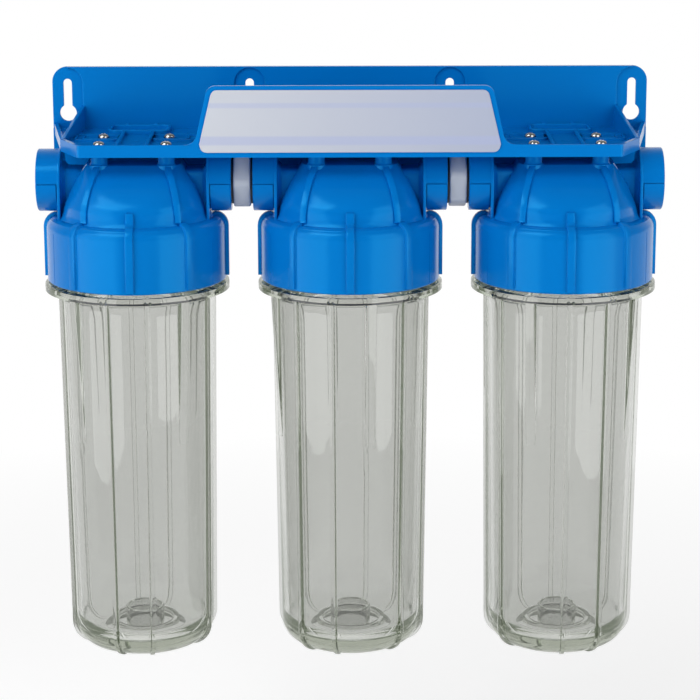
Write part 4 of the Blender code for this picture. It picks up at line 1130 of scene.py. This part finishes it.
def moulded_group():
    """Fine grain, slow waves and colour drift of a moulded plastic face, from object coordinates."""
    group = bpy.data.node_groups.get("moulded_face")
    if group:
        return group
    group = bpy.data.node_groups.new("moulded_face", "ShaderNodeTree")
    sockets = (
        ("INPUT", "Color", ("Colour",)),
        ("INPUT", "Float", ("Drift", "Roughness", "Grain", "Scuffs")),
        ("OUTPUT", "Color", ("Colour",)),
        ("OUTPUT", "Float", ("Roughness", "Height")),
    )
    for way, kind, names in sockets:
        for name in names:
            group.interface.new_socket(name, in_out=way, socket_type="NodeSocket" + kind)
    wave_scale, grain_scale, scuff_scale = 14.0, 900.0, (90.0, 90.0, 1400.0)
    n = Nodes(group)
    given = n.add("NodeGroupInput").outputs
    place = n.add("ShaderNodeTexCoord").outputs["Object"]
    slow = n.add("ShaderNodeTexNoise", {"Vector": place, "Scale": wave_scale, "Detail": 3.0}).outputs["Fac"]
    fine = n.add("ShaderNodeTexNoise", {"Vector": place, "Scale": grain_scale, "Detail": 2.0}).outputs["Fac"]
    drift = n.sums("MULTIPLY", n.sums("SUBTRACT", slow, 0.5), given["Drift"])
    tinted = n.add("ShaderNodeHueSaturation", {"Color": given["Colour"], "Value": n.sums("ADD", drift, 1.0)})
    along = n.add("ShaderNodeMapping", {"Vector": place, "Scale": scuff_scale})
    scuff = n.add("ShaderNodeTexNoise", {"Vector": along.outputs["Vector"], "Scale": 1.0, "Detail": 4.0})
    worn = n.add("ShaderNodeMapRange", {"Value": scuff.outputs["Fac"], "From Min": 0.62, "From Max": 0.75})
    worn = n.sums("MULTIPLY", worn.outputs[0], given["Scuffs"])
    rough = n.sums("ADD", n.sums("ADD", drift, given["Roughness"]), worn)
    height = n.sums("ADD", slow, n.sums("MULTIPLY", fine, given["Grain"]))
    n.add("NodeGroupOutput", {"Colour": tinted.outputs["Color"], "Roughness": rough, "Height": height})
    return group


def moulded_plastic(name, colour, roughness, drift=0.08, grain=0.05, bump=0.0004, scuffs=0.0):
    """A material with the moulded face's colour, roughness and fine relief."""
    n, shader = new_material(name)
    values = {"Colour": (*colour, 1.0), "Drift": drift, "Roughness": roughness, "Grain": grain, "Scuffs": scuffs}
    face = n.add("ShaderNodeGroup", values, node_tree=moulded_group())
    relief = n.add("ShaderNodeBump", {"Height": face.outputs["Height"], "Strength": 0.3, "Distance": bump})
    normal = relief.outputs["Normal"]
    outputs = face.outputs
    n.fill(shader, {"Base Color": outputs["Colour"], "Roughness": outputs["Roughness"], "Normal": normal})
    return n, shader, face


def clear_plastic(name, tint):
    """Clear plastic: a tinted body with fine flow waves in its faces.

    A ray that has been mirrored many times inside it would end black; there the plastic glows with a faint painted
    light instead, though it is no lamp.
    """
    most_mirrored, faint, glow, body = 3.5, 0.2, (0.66, 0.74, 0.6, 1.0), (0.67, 0.7, 0.62, 1.0)
    n, shader, _ = moulded_plastic(name, tint, 0.03, drift=0.05, grain=0.0, bump=0.0006)
    path = n.add("ShaderNodeLightPath")
    # Painted glow: the plastic emits a faint light on rays mirrored more than three times.
    ends = n.sums("GREATER_THAN", path.outputs["Glossy Depth"], most_mirrored)
    strength = n.sums("MULTIPLY", ends, faint)
    n.fill(shader, {"Transmission Weight": 1.0, "IOR": 1.5, "Emission Color": glow, "Emission Strength": strength})
    body = n.add("ShaderNodeVolumeAbsorption", {"Color": body, "Density": 26.0})
    n.fill(n.tree.nodes["Material Output"], {"Volume": body.outputs["Volume"]})


def label_film(name):
    """Plain label film: a pale sheet that deepens to one side, with two soft bands and no lettering."""
    n, _, face = moulded_plastic(name, (0.65, 0.67, 0.72), 0.36, drift=0.03, grain=0.0)
    low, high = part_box("label")
    place = n.add("ShaderNodeTexCoord")
    parts = n.add("ShaderNodeSeparateXYZ", {"Vector": place.outputs["Object"]}).outputs
    across = n.add("ShaderNodeMapRange", {"Value": parts["X"], "From Min": low.x, "From Max": high.x})
    up = n.add("ShaderNodeMapRange", {"Value": parts["Z"], "From Min": low.z, "From Max": high.z})
    shade = n.add("ShaderNodeValToRGB", {"Fac": across.outputs[0]})
    shade.color_ramp.elements[0].color = (0.53, 0.555, 0.61, 1.0)
    shade.color_ramp.elements[1].color = (0.37, 0.41, 0.53, 1.0)
    bands = n.add("ShaderNodeValToRGB", {"Fac": up.outputs[0]})
    ramp = bands.color_ramp
    ramp.interpolation = "EASE"
    ramp.elements[0].position, ramp.elements[0].color = 0.1, (0.0, 0.0, 0.0, 1.0)
    ramp.elements[1].position, ramp.elements[1].color = 0.14, WHITE
    for position, value in ((0.24, 1.0), (0.28, 0.0), (0.7, 0.0), (0.73, 0.8), (0.78, 0.8), (0.81, 0.0)):
        ramp.elements.new(position).color = (value, value, value, 1.0)
    depth = n.sums("MULTIPLY", bands.outputs["Color"], 0.55)
    colours = {0: depth, 6: shade.outputs["Color"], 7: (0.36, 0.41, 0.62, 1.0)}
    mixed = n.add("ShaderNodeMix", colours, data_type="RGBA")
    n.fill(face, {"Colour": mixed.outputs[2]})


class WATERFILTER_OT_finishes(Operator):
    """Mixes the finishes and gives the CAD nodes that stay their own"""

    bl_idname = "water_filter.finishes"
    bl_label = "Finishes"

    def execute(self, context):
        finish = context.scene.filter_finish
        n, shader, _ = moulded_plastic("blue_plastic", finish.blue, 0.19, scuffs=0.05)
        n.fill(shader, {"Specular Tint": (0.05, 0.62, 1.0, 1.0)})
        clear_plastic("clear_plastic", finish.clear)
        moulded_plastic("pale_nylon", finish.nylon, 0.42)
        moulded_plastic("black_rubber", (0.015, 0.015, 0.016), 0.6)
        n, shader, _ = moulded_plastic("plated_steel", (0.44, 0.44, 0.43), 0.12)
        n.fill(shader, {"Metallic": 1.0})
        label_film("label_film")
        for name, node in NODES.items():
            if "gasket" in name:
                materials = node.data.materials
                if not materials:
                    materials.append(None)
                for number in range(len(materials)):
                    materials[number] = MATERIALS["black_rubber"]
        return {"FINISHED"}


def seen_rays(n, mirrored=1.0):
    """A mask of the rays that see the plain white: camera and transmission rays, and a share of the mirrored ones."""
    path = n.add("ShaderNodeLightPath").outputs
    rays = n.sums("MAXIMUM", path["Is Camera Ray"], path["Is Transmission Ray"])
    return n.sums("MAXIMUM", rays, n.sums("MULTIPLY", mirrored, path["Is Glossy Ray"]))


def floor_material():
    """Plain white floor: it takes the object's shadow and is plain white far away."""
    n, shader = new_material("white_floor")
    n.tree.nodes.remove(shader)
    place = n.add("ShaderNodeTexCoord")
    away = n.add("ShaderNodeVectorMath", {0: place.outputs["Object"]}, operation="LENGTH")
    far = n.add("ShaderNodeMapRange", {"Value": away.outputs["Value"], "From Min": 0.5, "From Max": 1.1})
    plain = n.add("ShaderNodeBsdfDiffuse", {"Color": (0.8, 0.8, 0.8, 1.0)}).outputs[0]
    lift = n.add("ShaderNodeEmission", {"Color": WHITE, "Strength": 0.55})
    lifted = n.add("ShaderNodeAddShader", {0: plain, 1: lift.outputs[0]})
    white = n.add("ShaderNodeEmission", {"Color": WHITE, "Strength": 1.0})
    seen = n.add("ShaderNodeMixShader", {0: far.outputs[0], 1: lifted.outputs[0], 2: white.outputs[0]})
    mixed = n.add("ShaderNodeMixShader", {0: seen_rays(n), 1: plain, 2: seen.outputs[0]})
    n.fill(n.tree.nodes["Material Output"], {"Surface": mixed.outputs[0]})
    return MATERIALS["white_floor"]


def studio_world(ambient):
    """Plain light all round. Camera and transmission rays see white, and mirrored rays do behind the filter."""
    world = bpy.data.worlds.new("studio")
    world.use_nodes = True
    n = Nodes(world.node_tree)
    place = n.add("ShaderNodeTexCoord")
    parts = n.add("ShaderNodeSeparateXYZ", {"Vector": place.outputs["Generated"]})
    behind = n.add("ShaderNodeMapRange", {"Value": parts.outputs["Y"], "From Min": 0.3, "From Max": 0.9})
    rays = seen_rays(n, behind.outputs[0])
    strength = n.add("ShaderNodeMapRange", {"Value": rays, "To Min": ambient, "To Max": 1.0})
    n.fill(world.node_tree.nodes["Background"], {"Color": WHITE, "Strength": strength.outputs[0]})
    return world


def softbox(name, place, aim, size, power):
    deselect()
    bpy.ops.object.light_add(type="AREA", location=place)
    lamp = bpy.context.active_object
    lamp.name = name
    lamp.data.shape = "RECTANGLE"
    lamp.data.size, lamp.data.size_y = size
    lamp.data.energy = power
    lamp.visible_transmission = False
    lamp.rotation_euler = aim.to_track_quat("-Z", "Y").to_euler()


class WATERFILTER_OT_stage(Operator):
    """Adds the floor, the plain soft light and the camera"""

    bl_idname = "water_filter.stage"
    bl_label = "Stage"

    def execute(self, context):
        studio = context.scene.filter_studio
        deselect()
        level = CAD_BOX[0][2] - studio.floor_gap
        bpy.ops.mesh.primitive_plane_add(size=FLOOR_SIZE, location=(0.0, 0.0, level))
        floor = settle(context.active_object)
        floor.name = "floor"
        floor.data.materials.append(floor_material())
        context.scene.world = studio_world(studio.ambient)

        reach, height, tall = 0.95, 0.2, 1.3
        sides = (("key_softbox", -52.0, 0.85, studio.key_power), ("fill_softbox", 46.0, 0.7, studio.fill_power))
        for name, bearing, wide, power in sides:
            angle = radians(bearing)
            place = Vector((reach * sin(angle), -reach * cos(angle) - AXIS_DEPTH, height))
            softbox(name, place, Vector((-place.x, -AXIS_DEPTH - place.y, 0.0)), (wide, tall), power)
        place, target = Vector((-0.62, -0.75, 1.0)), Vector((0.0, -0.08, -0.02))
        softbox("top_softbox", place, target - place, (0.8, 0.5), studio.top_power)

        deselect()
        turn = [radians(angle) for angle in CAMERA_TURN]
        bpy.ops.object.camera_add(location=CAMERA_PLACE, rotation=turn)
        camera = context.active_object
        camera.name = "camera"
        camera.data.lens = studio.lens
        camera.data.sensor_width = SENSOR_WIDTH
        camera.data.shift_x, camera.data.shift_y = CAMERA_SHIFT
        camera.data.clip_end = 2 * FLOOR_SIZE
        context.scene.camera = camera
        context.scene.view_settings.view_transform = "Standard"
        return {"FINISHED"}


class WATERFILTER_PT_panel(Panel):
    """Lists the steps that build the filter"""

    bl_idname = "WATERFILTER_PT_panel"
    bl_label = "Water filter"
    bl_space_type = "VIEW_3D"
    bl_region_type = "UI"
    bl_category = "Water Filter"

    def draw(self, context):
        layout = self.layout
        scene = context.scene
        for group in (scene.filter_studio, scene.filter_finish, scene.filter_pieces):
            for name in group.bl_rna.properties.keys():
                if name not in ("rna_type", "name"):
                    layout.prop(group, name)
        for operator in OPERATORS:
            layout.operator(operator.bl_idname)


MATERIALS = {}
OPERATORS = (
    WATERFILTER_OT_stage,
    WATERFILTER_OT_finishes,
    WATERFILTER_OT_bracket,
    WATERFILTER_OT_label,
    WATERFILTER_OT_heads,
    WATERFILTER_OT_sumps,
    WATERFILTER_OT_seals,
    WATERFILTER_OT_nipples,
    WATERFILTER_OT_screws,
)
CLASSES = (StudioSettings, FinishSettings, PieceSettings, *OPERATORS, WATERFILTER_PT_panel)


def register():
    for cls in CLASSES:
        bpy.utils.register_class(cls)
    bpy.types.Scene.filter_studio = PointerProperty(type=StudioSettings)
    bpy.types.Scene.filter_finish = PointerProperty(type=FinishSettings)
    bpy.types.Scene.filter_pieces = PointerProperty(type=PieceSettings)


def unregister():
    del bpy.types.Scene.filter_pieces
    del bpy.types.Scene.filter_finish
    del bpy.types.Scene.filter_studio
    for cls in reversed(CLASSES):
        bpy.utils.unregister_class(cls)


def main():
    register()
    bpy.ops.water_filter.stage()
    bpy.ops.water_filter.finishes()
    bpy.ops.water_filter.bracket()
    bpy.ops.water_filter.label()
    bpy.ops.water_filter.heads()
    bpy.ops.water_filter.sumps()
    bpy.ops.water_filter.seals()
    bpy.ops.water_filter.nipples()
    bpy.ops.water_filter.screws()


if __name__ == "__main__":
    main()
